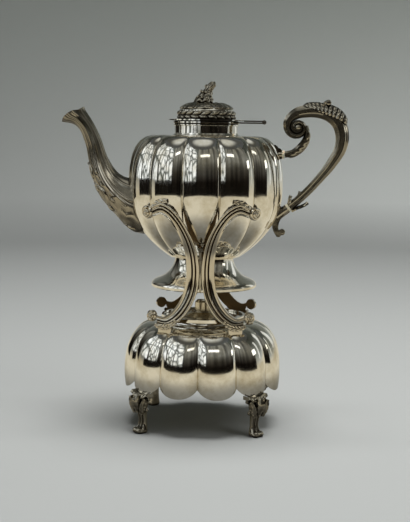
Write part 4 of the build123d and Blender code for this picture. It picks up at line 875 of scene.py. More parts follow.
@dataclass
class Spout:
    """The panelled spout and the leaf round its root."""

    belly: KettleBelly
    sheet: float = 1.1
    stations: int = 66
    bead: float = 0.45
    roundness: float = 0.35
    # upper edge, lower edge and depth of each ring, as reach beyond the belly and rise above its middle
    rings: tuple = (
        ((-13.6, 6.5), (-25.6, -52.0), 36.0), ((-4.6, 6.0), (-5.6, -48.0), 36.0),
        ((2.4, 6.4), (9.9, -34.5), 33.0), ((8.9, 9.2), (23.9, -18.5), 27.0),
        ((15.2, 14.4), (34.6, -1.5), 21.5), ((21.0, 22.6), (39.3, 12.5), 17.5),
        ((25.6, 31.6), (42.0, 26.0), 15.0), ((31.8, 48.8), (45.7, 43.6), 13.2),
        ((41.7, 68.0), (55.0, 62.2), 12.6), ((48.6, 78.6), (63.9, 66.6), 14.0),
        ((50.6, 85.0), (76.0, 67.4), 17.0),
    )
    mouth: tuple = ((54.0, 79.4), (73.0, 66.2))
    mouth_bulge: float = 3.3
    # place across the side from the lower to the upper edge, width and rise of each reed
    reeds: tuple = (
        (-0.80, 0.07, 0.7), (-0.60, 0.065, 0.7), (-0.40, 0.06, 0.7), (-0.22, 0.06, 0.7), (0.02, 0.065, 1.4),
        (0.18, 0.065, 1.4), (0.90, 0.07, 0.7),
    )
    leaf_rows: int = 40
    leaf_span: tuple = (2, 0.62)  # first station, and last one as a share of all
    leaf_lobes: float = 5.5
    leaf_points: int = 41
    leaf_cells: float = 3.2
    # shares along the leaf, and angle and size of the two rows
    cartouche_places: tuple = (0.16, 0.36, 0.56, 0.76)
    cartouche_rows: tuple = ((0.5, 1.0), (1.15, 0.75))
    oval: tuple = ((-5.0, 0.3), (-3.8, 1.5), (-1.4, 2.3))

    def spot(self, point: tuple[float, float]) -> tuple[float, float]:
        """A point of the side view."""
        return (-self.belly.radius - point[0], self.belly.middle + point[1])

    def run(self) -> Array:
        """Upper and lower edges and depth along the spout."""
        rows = [(*self.spot(up), *self.spot(low), depth) for up, low, depth in self.rings]
        return smooth_run([((r[0] + r[2]) / 2, (r[1] + r[3]) / 2, *r) for r in rows], self.stations)[:, 2:]

    @staticmethod
    def station(row: Array) -> tuple[Array, Array, float]:
        """Middle of a ring, the direction across it to its upper edge, and its thickness."""
        up, low = (np.array([row[k], 0.0, row[k + 1]]) for k in (0, 2))
        thick = np.linalg.norm(up - low)
        return (up + low) / 2, (up - low) / thick, thick

    def sections(self) -> list[Array]:
        """Rings of the spout, with reeds on its sides and beads at its corners."""
        section, ridge = panelled(8, 28, 90.0, self.roundness)
        reeds = sum(rise * np.exp(-(((section[:, 1] - at) / wide) ** 2)) for at, wide, rise in self.reeds)
        rings = []
        for row in self.run():
            middle, up, thick = self.station(row)
            x, y = (section[:, k] * (size / 2 + share * reeds) + ridge * self.bead * section[:, k]
                    for k, size, share in ((0, row[4], 1.0), (1, thick, 0.5)))
            rings.append(middle + up * y[:, None] + Y_AXIS * x[:, None])
        return rings

    def cut_mouth(self, obj: Obj) -> None:
        """Cuts the mouth slanting and swells its lip."""
        a, b = (np.array([x, 0.0, z]) for x, z in (self.spot(p) for p in self.mouth))
        along = (b - a) / np.linalg.norm(b - a)
        normal = np.array([along[2], 0.0, -along[0]])
        place = tuple(value * MM for value in a)
        Bench.edit(obj, bpy.ops.mesh.bisect, plane_co=place, plane_no=tuple(normal), clear_outer=True)
        middle = (a + b) / 2
        half = np.linalg.norm(b - a) / 2
        for vertex in obj.data.vertices:
            place = np.array(vertex.co) / MM - middle
            if abs(place @ normal) < 0.02:
                share = min(1.0, abs(place @ along) / half)
                vertex.co = Vector((middle + place + normal * self.mouth_bulge * (1 - share**2)) * MM)

    def cartouches(self, rows: Array) -> list[Obj]:
        """Ovals with curls in two rows along each side of the root leaf, and the curled tip of the leaf."""
        pieces = []

        def frame_at(share: float) -> tuple[Array, Array, Array, float, float]:
            i = int(share * (len(rows) - 3))
            middle, up, thick = self.station(rows[i])
            return middle, unit(self.station(rows[i + 2])[0] - middle), -up, thick / 2, rows[i][4] / 2

        for share in self.cartouche_places:
            middle, along, down, half, wide = frame_at(share)
            for side in (-1, 1):
                for phi, scale in self.cartouche_rows:
                    size = (1.15 - 0.5 * share) * scale
                    low, out = down * math.cos(phi), Y_AXIS * side * math.sin(phi)
                    place = middle + low * (half + 1.0) + out * (wide + 1.0)
                    grown = mirrored(*((a * size, r * size) for a, r in self.oval))
                    pieces.append(spindle("spout_leaf_oval", place, along, grown, 14))
                    axes = (along, np.cross(low + out, along), low + out)
                    curl = (place + along * 5.6 * size, axes, 3.0 * size, 1.3, 0.35, 200, 0.6)
                    pieces.append(spiral_rod("spout_leaf_curl", *curl, sense=side))
        middle, along, down, half, _ = frame_at(0.97)
        tip = middle + down * (half + 2.0)
        pieces.append(spiral_rod("spout_leaf_tip", tip, (along, down, Y_AXIS), 2.6, 1.2, 0.4, 200, 0.0, 0.36))
        return pieces

    def leaf(self, finishes: Finishes) -> None:
        """The leaf that lies round the underside of the root, with cartouches along its middle."""
        first, last = self.leaf_span
        rows = smooth_run(self.run()[first : int(self.stations * last)], self.leaf_rows)
        q = np.linspace(-1, 1, self.leaf_points)
        side = np.abs(q)
        rings = []
        for row, s in zip(rows, np.linspace(0, 1, self.leaf_rows)):
            middle, up, thick = self.station(row)
            phi = q * ((1.75 - 1.05 * s**1.4) * (1 - 0.16 * (1 - scallops(self.leaf_lobes, s, 0.7))))
            cell = (s * self.leaf_cells) % 1.0
            oval = np.exp(-(((cell - 0.5) / 0.30) ** 2 + ((side - 0.42) / 0.26) ** 2))
            from_rim = np.sqrt(((cell - 0.5) / 0.34) ** 2 + ((side - 0.42) / 0.30) ** 2) - 1
            feather = np.abs(np.sin(math.pi * (self.leaf_lobes * s + LEAF_SLANT * side))) ** 0.6
            face = 0.4 + 1.3 * feather * side**1.5 + 1.6 * oval + 1.5 * np.exp(-((from_rim / 0.22) ** 2))
            face = (face + 0.9 * np.exp(-((q / 0.08) ** 2))) * min(1.0, (1 - s) * 8 + 0.15)
            top, under = (wrapped(middle, -up, thick, row[4], phi, rise) for rise in (face, 0.05))
            rings.append(np.concatenate([top, under[::-1]]))
        leaf = Bench.extrude("spout_root_leaf", rings)
        Bench.cut([leaf], [self.belly.solid("belly_for_leaf")])
        leaf = Bench.join("spout_root_leaf", [leaf, *self.cartouches(rows)])
        Bench.shade(leaf)
        dress(leaf, finishes.cast)
        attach(leaf, "kettle")
        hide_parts("spout_leaf")

    def build(self, finishes: Finishes) -> None:
        """Models the spout and its leaf in place of their plain nodes."""
        spout = Bench.extrude("spout_cast", self.sections(), Ends.NONE)
        self.cut_mouth(spout)
        Bench.wall(spout, self.sheet)
        Bench.cut([spout], [self.belly.solid("belly_for_spout")])
        Bench.shade(spout)
        dress(spout, finishes.spout)
        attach(spout, "kettle")
        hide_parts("spout")
        self.leaf(finishes)
        log.info("spout: %d faces", len(spout.data.polygons))


@dataclass
class Handle:
    """The scrolled handle with its volute, its long leaf and its thumb rest."""

    upper: tuple[float, float] = (81.25, 291.2)
    lower: tuple[float, float] = (88.2, 234.0)
    slope: float = 38.0
    gap: float = 2.6
    volute: tuple[float, float] = (16.0, 29.0)
    volute_radius: float = 12.8
    volute_shrink: float = 0.1645
    volute_fill: float = 0.78
    # places from the upper socket's face and thickness
    grip: tuple = (
        (18.4, -47.6, 8.6), (28.1, -38.2, 8.7), (40.6, -24.0, 9.4), (53.2, -7.4, 11.4), (61.4, 8.0, 13.4),
        (62.8, 20.4, 14.6), (59.2, 32.8, 15.0), (49.4, 42.2, 15.0), (37.2, 46.2, 15.0), (24.2, 46.0, 14.0),
        (13.4, 43.0, 12.2),
    )
    arm: tuple = ((2.6, 0.0, 7.0), (11.4, 2.0, 7.6), (18.4, 7.2, 8.4), (23.8, 14.8, 7.4), (25.6, 22.8, 6.0),
                  (24.4, 30.8, 4.6))
    # places from the lower socket's face, and width, of the leaf tips over the foot of the grip
    tips: tuple = (
        (((1.0, 2.6), (4.6, 5.0), (8.6, 8.6), (10.6, 9.8)), 4.0),
        (((2.0, -3.2), (9.0, -4.6), (16.0, -6.6), (21.4, -7.0)), 3.6),
        (((3.0, 3.0), (10.0, 3.4), (17.0, 4.6), (21.0, 7.4)), 3.4),
    )
    stations: int = 190
    beaded: int = 110  # stations with the higher bead
    leaf_start: int = 128
    leaf_stations: int = 90
    leaf_tip: tuple = (52.0, 41.0)

    def high(self, x: float, z: float) -> tuple[float, float]:
        """A point from the upper socket's face."""
        return (self.upper[0] + x, self.upper[1] + z)

    def low(self, out: float, up: float = 0.0) -> tuple[float, float]:
        """A point from the lower socket's face, out along its slope and up beside it."""
        c, s = math.cos(math.radians(self.slope)), math.sin(math.radians(self.slope))
        return (self.lower[0] + c * out - s * up, self.lower[1] + s * out + c * up)

    def rows(self) -> list[tuple[float, float, float, float]]:
        """Places, thickness and depth of the grip and its volute."""
        rows = [(*self.low(self.gap), 8.6, 9.0)]
        for x, z, thick in self.grip:
            rows.append((*self.high(x, z), thick, 9.0 + 3.5 * (thick - 8.6) / 6.4))
        for turn in range(150, 571, 20):
            r = self.volute_radius * math.exp(-self.volute_shrink * math.radians(turn - 135))
            a = math.radians(turn)
            place = self.high(self.volute[0] + r * math.cos(a), self.volute[1] + r * math.sin(a))
            rows.append((*place, r * self.volute_fill, 11.0 + 1.2 * (turn - 150) / 420))
        return rows

    def place(self, piece: Obj, finishes: Finishes, *nodes: str) -> None:
        """Dresses a finished piece and lets it ride on the kettle."""
        Bench.shade(piece)
        dress(piece, finishes.cast)
        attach(piece, "kettle")
        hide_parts(*nodes)
        log.info("%s: %d faces", piece.name, len(piece.data.polygons))

    def build(self, finishes: Finishes) -> None:
        """Models the handle in place of its plain nodes."""
        section, ridge = panelled(8, 6, 22.5, 0.45)
        whole = smooth_run(self.rows(), self.stations)
        bead = np.where(np.arange(self.stations) < self.beaded, 0.30, 0.12)
        grip = Bench.extrude("handle_grip", FlatRun(whole).tube(section, ridge, bead))
        arm_rows = smooth_run([(*self.high(x, z), thick, 9.0) for x, z, thick in self.arm], 40)
        arm = Bench.extrude("handle_arm", FlatRun(arm_rows).tube(section, ridge, 0.15))
        x, z = self.high(*self.volute)
        web = spindle("handle_web", (x, 0.0, z), Y_AXIS, mirrored((-2.5, 7.8)))
        button = mirrored((-6.2, 0.6), (-6.0, 1.6), (-5.2, 2.8), (-4.0, 3.3))
        eye = spindle("handle_eye", (x, 0.0, z), Y_AXIS, button)
        # herringbone leaf under the arm
        under = FlatRun(smooth_run(arm_rows[3:34], 36))
        wrap = scalloped(36, 5.5, 0.9, 1.5, 0.2)
        leaf = Bench.extrude("arm_leaf", under.sheath(wrap, acanthus(5.5, 1.0), -1.0))
        parts = [grip, arm, web, eye, leaf]
        for tips, wide in self.tips:
            spine = side_view(smooth_run([self.low(*tip) for tip in tips], 16))
            parts.append(blade("grip_leaf", spine, Y_AXIS, tapering(16, wide), 2.5, 0.2, 0.6, 1.6, 1.4))
        self.place(Bench.join("handle_scroll", parts), finishes, "handle")
        self.long_leaf(finishes, whole)

    def long_leaf(self, finishes: Finishes, whole: Array) -> None:
        """The leaf over the top of the handle, from the volute's far side to the thumb rest."""
        x, z = self.high(*self.leaf_tip)
        near = whole[: self.leaf_stations]
        tip = np.argmin(np.hypot(near[:, 0] - x, near[:, 1] - z))
        run = FlatRun(smooth_run(whole[tip : self.leaf_start], self.leaf_stations))
        swell = 1.0 + 1.3 * np.exp(-(((np.linspace(0, 1, self.leaf_stations) - 0.25) / 0.22) ** 2))
        relief = acanthus(11.5, 1.5, edge=0.4)
        wrap = scalloped(self.leaf_stations, 11.5, 0.5, 1.75, 0.16)
        rings = run.sheath(wrap, lambda s, q: relief(s, q) * swell[:, None] + 0.2, -self.sense(run))
        leaf = Bench.extrude("handle_leaf_face", rings)
        x, z = self.high(47.4, 55.2)
        roll = mirrored((-6.2, 1.2), (-5.9, 2.4), (-4.6, 3.1), (-2.0, 2.7), (0, 2.5))
        curl = spindle("thumb_curl", (x, 0.0, z), Y_AXIS, roll)
        points = [self.high(*point) for point in ((39.0, 51.5), (42.6, 55.4), (46.4, 57.6), (49.6, 55.6))]
        lip = blade("thumb_lip", side_view(smooth_run(points, 16)), Y_AXIS, tapering(16, 6.0, 0.5, 0.8, 0.5),
                    2.5, 0.15, 0.5, 0.8, 2.0)
        self.place(Bench.join("handle_leaf_cast", [leaf, curl, lip]), finishes, "handle_leaf")

    def sense(self, run: FlatRun) -> float:
        """Side of the run that faces away from the volute: 1 where it is the side across it."""
        x, z = self.high(*self.volute)
        k = len(run.places) // 2
        return 1.0 if (run.places[k] - np.array([x + 12, 0.0, z - 10])) @ run.across[k] < 0 else -1.0


@dataclass
class SupportSurface:
    """The curved surface that the backs of the supports lie on."""

    belly: KettleBelly
    front: float = 58.8
    setback: float = 40.0
    # height, distance beyond the belly and share of the setback, from the waist up
    upper: tuple = ((190, 12.4, 0.65), (203, 6.8, 0.3), (216, 3.8, 0.1), (230, 0.9, 0.0), (243, -1.3, 0.0))

    def __post_init__(self) -> None:
        """Works out the surface's profile."""
        rows = [(z, self.front, self.setback) for z in (96.5, 134.5, 174)]
        rows += [(z, self.belly.crest(z) + beyond, self.setback * share) for z, beyond, share in self.upper]
        self.profile = smooth_run([*rows, (256.0, 80.6, 0.0)], 200)

    def spot(self, x: Array | float, z: Array | float, height: Array | float = 0.0) -> Array:
        """Points of the surface, or above it, by their place in front view."""
        x, z, height = np.broadcast_arrays(np.asarray(x, float), z, height)
        front, setback = (np.interp(z, self.profile[:, 0], self.profile[:, k]) for k in (1, 2))
        return np.stack([x, setback - np.sqrt((front + setback + height) ** 2 - x**2), z], axis=-1)

    def axes(self, x: float, z: float) -> tuple[Array, Array, Array]:
        """Directions at a point: across, up, and outwards."""
        here = self.spot(x, z)
        across = unit(self.spot(x + 0.5, z) - here)
        up = unit(self.spot(x, z + 0.5) - here)
        return across, unit(np.cross(np.cross(across, up), across)), unit(np.cross(across, up))


@dataclass
class Support:
    """A reeded C-scroll that carries the belly, with a scroll at both ends."""

    belly: KettleBelly
    dome: StandDome
    plate: float = 3.0
    rise: float = 1.3
    seat: float = 0.3
    stations: int = 96
    # edges in front view: the hollow side, and the waist side
    hollow_side: tuple = (
        (49.0, 227.6), (40.0, 230.6), (32.6, 226.6), (25.6, 217.6), (18.6, 202.4), (14.6, 182.0),
        (14.6, 163.0), (18.4, 145.8), (24.6, 134.7), (32.4, 125.9), (39.4, 121.9), (46.6, 123.5),
    )
    waist_side: tuple = (
        (50.6, 238.2), (40.6, 242.2), (31.6, 239.0), (22.0, 230.6), (9.6, 209.6), (2.5, 185.0),
        (1.3, 166.0), (5.1, 143.6), (12.4, 128.9), (22.0, 118.3), (31.0, 112.9), (43.6, 112.7),
    )
    # name, place in front view, radius, angle at the start and sense of each scroll
    scrolls: tuple = (("support_upper_scroll", (53.6, 232.0), 7.4, 115.0, -1),
                      ("support_lower_scroll", (50.0, 122.3), 6.4, -120.0, 1))
    scroll_rise: float = 2.0
    lug_heights: tuple = (92.0, 115.0)
    lug_width: tuple = (37.0, 7.0)  # middle and half of its width

    def relief(self, q: Array, s: float) -> Array:
        """Rise of the face across the band: a hollow field with two rims, then twice a groove and a bead."""
        hollow = self.plate + self.rise - 1.1 * np.clip(1 - ((q - 0.21) / 0.19) ** 2, 0, 1)
        thin, wide = (self.plate + self.rise * np.sqrt(np.clip(1 - ((q - at) / half) ** 2, 0, 1))
                      for at, half in ((0.59, 0.09), (0.885, 0.125)))
        face = np.where(q < 0.42, hollow, np.where(q < 0.72, thin, wide))
        face = face - 1.5 * np.exp(-(((q - 0.46) / 0.022) ** 2)) - 1.2 * np.exp(-(((q - 0.72) / 0.022) ** 2))
        feather = 0.9 * (np.abs(np.sin(math.pi * (30 * s + 1.3 * q))) - 0.4) * np.clip((q - 0.35) * 4, 0, 1)
        return face + feather * np.clip((0.26 - s) / 0.05, 0, 1)

    def band(self) -> Obj:
        """The reeded band."""
        edges = zip(self.hollow_side, self.waist_side)
        pairs = [((a + c) / 2, (b + d) / 2, a, b, c, d) for (a, b), (c, d) in edges]
        q = np.concatenate([np.linspace(0, 0.42, 13), [0.44, 0.46, 0.48], np.linspace(0.5, 0.68, 9),
                            [0.7, 0.72, 0.74], np.linspace(0.76, 1.0, 11)])
        rings = []
        for k, (_, _, x0, z0, x1, z1) in enumerate(smooth_run(pairs, self.stations)):
            layers = ((q, self.relief(q, k / (self.stations - 1))), (np.linspace(1, 0, 12), 0.0))
            rings.append(np.concatenate([
                self.surface.spot(x0 + (x1 - x0) * at, z0 + (z1 - z0) * at, height) for at, height in layers
            ]))
        return Bench.extrude("support_band", rings)

    def scroll(self, name: str, place: Row, radius: float, start: float, sense: int) -> list[Obj]:
        """A snail on a disc at one end of the band."""
        across, up, out = self.surface.axes(*place)
        root = self.surface.spot(*place)
        plate = ((0.0, radius - 0.5), (2.6, radius - 0.5), (3.6, radius - 1.6))
        disc = spindle(name + "_disc", root, out, plate)
        rise = self.scroll_rise
        axes = (across, up, out)
        snail = spiral_rod(name, root + out * 3.4, axes, radius, 2.1, 0.26, start, rise, sense=sense)
        button = ((-3.0, 1.8), (0.2, 1.8), (1.0, 1.4), (1.4, 0.6))
        return [disc, snail, spindle(name + "_eye", root + out * (3.4 + rise), out, button)]

    def on_surface(self, name: str, points: Sequence[Row], height: float, half: Array, **shape: float) -> Obj:
        """A leaf that lies over the band."""
        run = smooth_run(points, len(half))
        spine = self.surface.spot(run[:, 0], run[:, 1], height)
        out = np.array([self.surface.axes(x, z)[2] for x, z in run])
        return blade(name, spine, np.cross(out, unit(np.gradient(spine, axis=0))), half, **shape)

    def lug(self) -> Obj:
        """The block with round corners that joins the band to the dome."""
        turn = np.linspace(0, 2 * math.pi, 24, endpoint=False)
        x, y = (np.sign(way) * np.abs(way) ** 0.4 for way in (np.cos(turn), np.sin(turn)))
        (at, half), deep = self.lug_width, self.plate / 2
        levels = np.linspace(*self.lug_heights, 14)
        rings = [self.surface.spot(at + half * x, z, deep + deep * y) for z in levels]
        return Bench.extrude("support_lug", rings)

    def build(self, finishes: Finishes) -> None:
        """Models one support and copies it to the other three places."""
        self.surface = SupportSurface(self.belly)
        parts = [self.band()]
        for scroll in self.scrolls:
            parts += self.scroll(*scroll)
        parts.append(self.on_surface(
            "support_top_leaf", ((49.6, 236.6), (44.0, 241.4), (38.4, 243.4), (33.6, 244.4)), 3.6,
            tapering(22, 3.6, 0.5, 0.7, 0.5), lobes=3.5, notch=0.3, rise=0.9, cup=0.3, thickness=3.4,
        ))
        parts.append(self.on_surface(
            "support_foot_leaf", ((24.6, 119.8), (29.4, 115.4), (36.0, 112.4), (43.0, 112.0), (47.4, 113.8)),
            4.2, tapering(30, 3.6, 0.5, 0.6, 0.5), lobes=6.5, notch=0.35, rise=1.1, cup=0.4, thickness=4.0,
        ))
        parts.append(self.lug())
        belly = self.belly.solid("belly_for_support", self.seat)
        Bench.cut(parts, [belly, self.dome.solid("dome_for_support", self.seat)])
        support = Bench.join("support_front_right", parts)
        Bench.shade(support)
        dress(support, finishes.rubbed)
        for node, move in (
            ("front_left", FLIP_X), ("rear_right", FLIP_Y),
            ("rear_left", FLIP_X @ FLIP_Y), ("front_right", None),
        ):
            piece = support if move is None else Bench.copy(support, "support_" + node, move)
            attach(piece, "stand")
            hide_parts("bracket_" + node)
        log.info("support: %d faces", len(support.data.polygons))


@dataclass
class Foot:
    """A cast foot: a reeded leg on a scrolled toe, under a shell of leaves with curls at its sides."""

    axis_radius: float = 84.6
    top: float = 41.5
    lobe_arc: float = 27.0
    crown_half: float = 13.6
    crown_back: float = -5.2
    # height below the dome's edge, outer face, inner face and half width of the leg
    leg: tuple = (
        (-41.5, 5.0, -4.6, 5.0), (-39.6, 6.0, -5.2, 6.2), (-36.6, 3.0, -5.4, 6.0), (-33.0, 0.9, -5.3, 5.4),
        (-29.0, 0.2, -5.1, 5.2), (-24.0, 1.0, -4.6, 5.6), (-19.0, 2.4, -4.3, 6.2), (-13.0, 4.0, -4.4, 7.2),
        (-8.0, 4.8, -4.6, 8.4), (-3.6, 5.2, -5.0, 9.6), (-0.6, 4.6, -5.2, 9.8),
    )
    # place, size, angle at the start and sense of each curl
    curls: tuple = (((1.6, 9.4, -15.4), 3.0, 90, -1), ((0.6, 12.0, -3.4), 2.6, 250, 1))

    def legs(self) -> Obj:
        """The leg, with three reeds down its face."""
        t = np.linspace(-1, 1, 25)
        b = np.linspace(1, -1, 9)
        rings = []
        for z, out, inn, half in smooth_run(self.leg, 44):
            drift = 0.16 * math.sin((z + 34) / 34 * 2 * math.pi)
            places = ((-0.82, 0.16), (drift, 0.15), (0.82, 0.16))
            reeds = sum(np.exp(-(((t - at) / wide) ** 2)) for at, wide in places)
            face = out - 1.3 + 1.3 * reeds - 1.6 * np.abs(t) ** 5
            back = inn + 1.2 * np.abs(b) ** 3
            rings.append(np.stack([np.concatenate([face, back]), np.concatenate([t * half, b * half * 0.9]),
                                   np.full(len(t) + len(b), z)], axis=1))
        return Bench.extrude("foot_leg", np.array(rings) + [0, 0, self.top])

    def crown(self) -> Obj:
        """The top of the foot, which follows the scalloped edge of a lobe."""
        across = np.linspace(-self.crown_half, self.crown_half, 35)
        share = (np.abs(across) / self.crown_half) ** 2
        side = np.clip(np.abs(across) - 1.3, 0, None)
        high = self.lobe_arc - 0.3 - np.sqrt(self.lobe_arc**2 - side**2)
        low = -6.0 + 4.4 * share + 0.9 * np.abs(np.sin(across * 0.7))
        out = 4.6 - 1.6 * share + 0.8 * np.abs(np.cos(across * 0.7))
        rings = [
            [(self.crown_back, y, z0), (x - 1.4, y, z0), (x, y, z0 + 1.6), (x, y, (z0 + z1) / 2),
             (x - 1.6, y, z1), (self.crown_back, y, z1)] for y, z1, z0, x in zip(across, high, low, out)
        ]
        return Bench.extrude("foot_crown", np.array(rings) + [0, 0, self.top])

    def leaf(self, name: str, points: Sequence[Row], half: Array, **shape: float) -> Obj:
        """A leaf by points of its spine, out, across and up."""
        ways = (smooth_run(list(enumerate(way)), len(half))[:, 1] for way in zip(*points))
        return blade(name, np.stack(list(ways), 1) + [0, 0, self.top], Y_AXIS, half, **shape)

    def build(self, finishes: Finishes) -> None:
        """Models one foot and copies it to the four corners."""
        parts = [self.legs(), self.crown()]
        toe = mirrored((-5.4, 1.2), (-5.1, 2.3), (-4.3, 2.95), (-3.0, 3.2), (-1.0, 2.9))
        knee = mirrored((-4.4, 1.2), (-4.2, 2.4), (-3.2, 3.3), (-1.2, 3.5), (0, 3.2))
        parts.append(spindle("foot_toe", (4.8, 0, 3.2), Y_AXIS, toe))
        parts.append(spindle("foot_knee", (4.0, 0, self.top - 6.6), Y_AXIS, knee))
        parts.append(self.leaf(
            "foot_shell", ((2.6, 0, -19.0), (4.6, 0, -13.0), (6.6, 0, -7.6), (6.2, 0, -3.0), (4.4, 0, -0.8)),
            tapering(26, 5.4, 0.55, 0.3, 0.6), lobes=4.5, notch=0.28, rise=1.0, cup=0.9, thickness=1.4,
        ))
        for side in (-1, 1):
            spine = [(x, side * y, z) for x, y, z in
                     ((2.4, 5.0, -20.0), (3.4, 7.6, -14.0), (3.6, 9.6, -8.0), (2.8, 12.4, -3.6))]
            parts.append(self.leaf(
                "foot_side_leaf", spine, tapering(24, 3.6, 0.5, 0.5, 0.5),
                lobes=4.5, notch=0.3, rise=1.0, cup=0.8, thickness=2.0,
            ))
            axes = ((0, side, 0), (0, 0, 1), (1, 0, 0))
            for (x, y, z), size, start, sense in self.curls:
                middle = np.array([x, side * y, z]) + [0, 0, self.top]
                disc = ((-2.6, size * 0.5), (-1.8, size * 0.8), (0.2, size * 0.8))
                parts.append(spiral_rod("foot_curl", middle, axes, size, 1.7, 0.3, start, 1.0, 0.36, sense))
                parts.append(spindle("foot_curl_disc", middle, (1, 0, 0), disc))
        foot = Bench.join("foot_front_right_cast", parts)
        Bench.shade(foot)
        dress(foot, finishes.cast)
        foot.data.transform(Bench.turned(-45) @ Matrix.Translation((self.axis_radius * MM, 0, 0)))
        for turn, node in ((90, "rear_right"), (180, "rear_left"), (270, "front_left"), (0, "front_right")):
            piece = Bench.copy(foot, "foot_" + node + "_cast", Bench.turned(turn)) if turn else foot
            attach(piece, "stand")
            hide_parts("foot_" + node)
        log.info("foot: %d faces", len(foot.data.polygons))


@dataclass
class LidOrnament:
    """The chased band round the lid, the leaves over it and the bud that is its knob."""

    band_bottom: float = 326.9
    band_height: float = 9.0
    band_radius: float = 31.75
    bore: float = 29.25
    blobs: int = 20
    dome_edge: tuple = (29.2, 336.5)
    dome_top: tuple = (13.6, 343.5)
    leaf_beads: int = 20
    bud_beads: int = 22
    # across from the axis, height and radius of the bud
    bud: tuple = (
        (-3.0, 343.5, 9.4), (-3.4, 345.5, 10.2), (-3.2, 348.1, 9.9), (-2.6, 350.6, 8.6), (-1.6, 353.3, 7.3),
        (0.6, 357.1, 5.4), (2.6, 359.6, 5.0), (4.2, 362.0, 5.2), (5.4, 364.5, 4.3), (6.4, 366.9, 2.4),
    )

    def band(self) -> Obj:
        """Band with two rows of slanting blobs."""
        turn = circle(240)
        lean = self.blobs * turn / (2 * math.pi)
        rings = []
        for share in np.linspace(0, 1, 17):
            low_rise = math.sin(math.pi * min(1, share / 0.5))
            high_rise = max(0.0, math.sin(math.pi * min(1.0, max(0.0, (share - 0.46) / 0.54))))
            low = np.abs(np.cos(math.pi * (lean + 0.5 * share))) ** 0.7 * low_rise**0.5
            high = np.abs(np.sin(math.pi * (lean - 0.9 * share))) ** 0.7 * high_rise**0.5
            r = self.band_radius - 1.9 - 0.5 * share + 1.9 * np.maximum(low, high)
            rings.append(ring_at(r, turn, self.band_bottom + self.band_height * share))
        rings += [ring_at(self.bore, turn, self.band_bottom + rise) for rise in (self.band_height, 0)]
        band = Bench.extrude("lid_band_chased", [*rings, rings[0]], Ends.NONE)
        Bench.edit(band, bpy.ops.mesh.remove_doubles, threshold=0.000001)
        Bench.outward(band)
        return band

    def arc(self, share: Array, lift: float) -> Array:
        """Points of the lid's dome from its edge to its level top, lifted off it."""
        start, end = np.array(self.dome_edge), np.array(self.dome_top)
        run = end - start
        out = np.array([run[1], -run[0]]) / np.linalg.norm(run)
        return side_view(start + run * share[:, None] + out * (1.6 * 4 * share * (1 - share) + lift)[:, None])

    def leaves(self) -> Obj:
        """Seven lobed leaves round the bud, and a broad smooth one on the handle's side."""
        share = np.linspace(1.02, 0.1, 26)
        spine = self.arc(share, 1.0)
        half = 10.4 * (0.52 + 0.48 * (1 - share)) * np.clip((share - 0.02) * 6, 0.35, 1)
        parts = []
        for k in range(1, 8):
            parts.append(blade("lid_leaf", spine, Y_AXIS, half, 3.5, 0.22, 0.7, 1.2, 0.5))
            parts[-1].data.transform(Bench.turned(45 * k))
        parts.append(blade("lid_leaf_smooth", spine, Y_AXIS, half * 1.1, 0.5, 0.0, 0.6, 1.4, 0.5))
        bead = ((-1.1, 0.3), (-0.9, 0.75), (-0.4, 1.1), (0.2, 1.15), (0.7, 0.85), (1.0, 0.3))
        for k in range(self.leaf_beads):
            angle = math.radians(34 + k * 292 / (self.leaf_beads - 1))
            x, y = math.cos(angle), math.sin(angle)
            parts.append(spindle("lid_leaf_bead", (27.3 * x, 27.3 * y, 338.9), (x, y, 0.3), bead, 10))
        return Bench.join("lid_leaves_cast", parts)

    def flower(self) -> Obj:
        """The leaning bud, knobbed with small beads, and its stud."""
        rows = smooth_run([(z, x, r) for x, z, r in self.bud], 44)
        turn = circle(72)
        rings = []
        for z, x, r in rows:
            lean = (z - self.bud[0][1]) / 24
            petals = 1 - 0.13 * (1 - np.abs(np.cos(3 * turn + 1.2 * lean)) ** 0.7)
            knobs = 1 + 0.05 * np.sin(9 * turn + 4) * math.sin(lean * 26)
            rings.append(ring_at(r * petals * knobs, turn, z, x))
        parts = [Bench.extrude("bud", rings)]
        parts.append(spindle("bud_stud", (0, 0, 341.0), (0, 0, 1), ((-1.0, 1.6), (4.0, 1.6)), 16))
        bead = ((-1.2, 0.3), (-1.0, 0.9), (-0.3, 1.4), (0.4, 1.3), (1.0, 0.8), (1.2, 0.3))
        for k in range(self.bud_beads):
            z, x, r = rows[4 + (k * 7) % 34]
            out = np.array([math.cos(k * 2.4), math.sin(k * 2.4), 0.25])
            parts.append(spindle("bud_bead", np.array([x, 0.0, z]) + out * (r * 0.93), out, bead, 10))
        return Bench.join("finial_flower_cast", parts)

    def build(self, finishes: Finishes) -> None:
        """Models the ornament of the lid in place of its plain nodes."""
        for piece, node in (
            (self.band(), "lid_band"), (self.leaves(), "finial_leaves"), (self.flower(), "finial_flower"),
        ):
            Bench.shade(piece)
            dress(piece, finishes.cast)
            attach(piece, "lid")
            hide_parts(node)
            log.info("%s: %d faces", piece.name, len(piece.data.polygons))


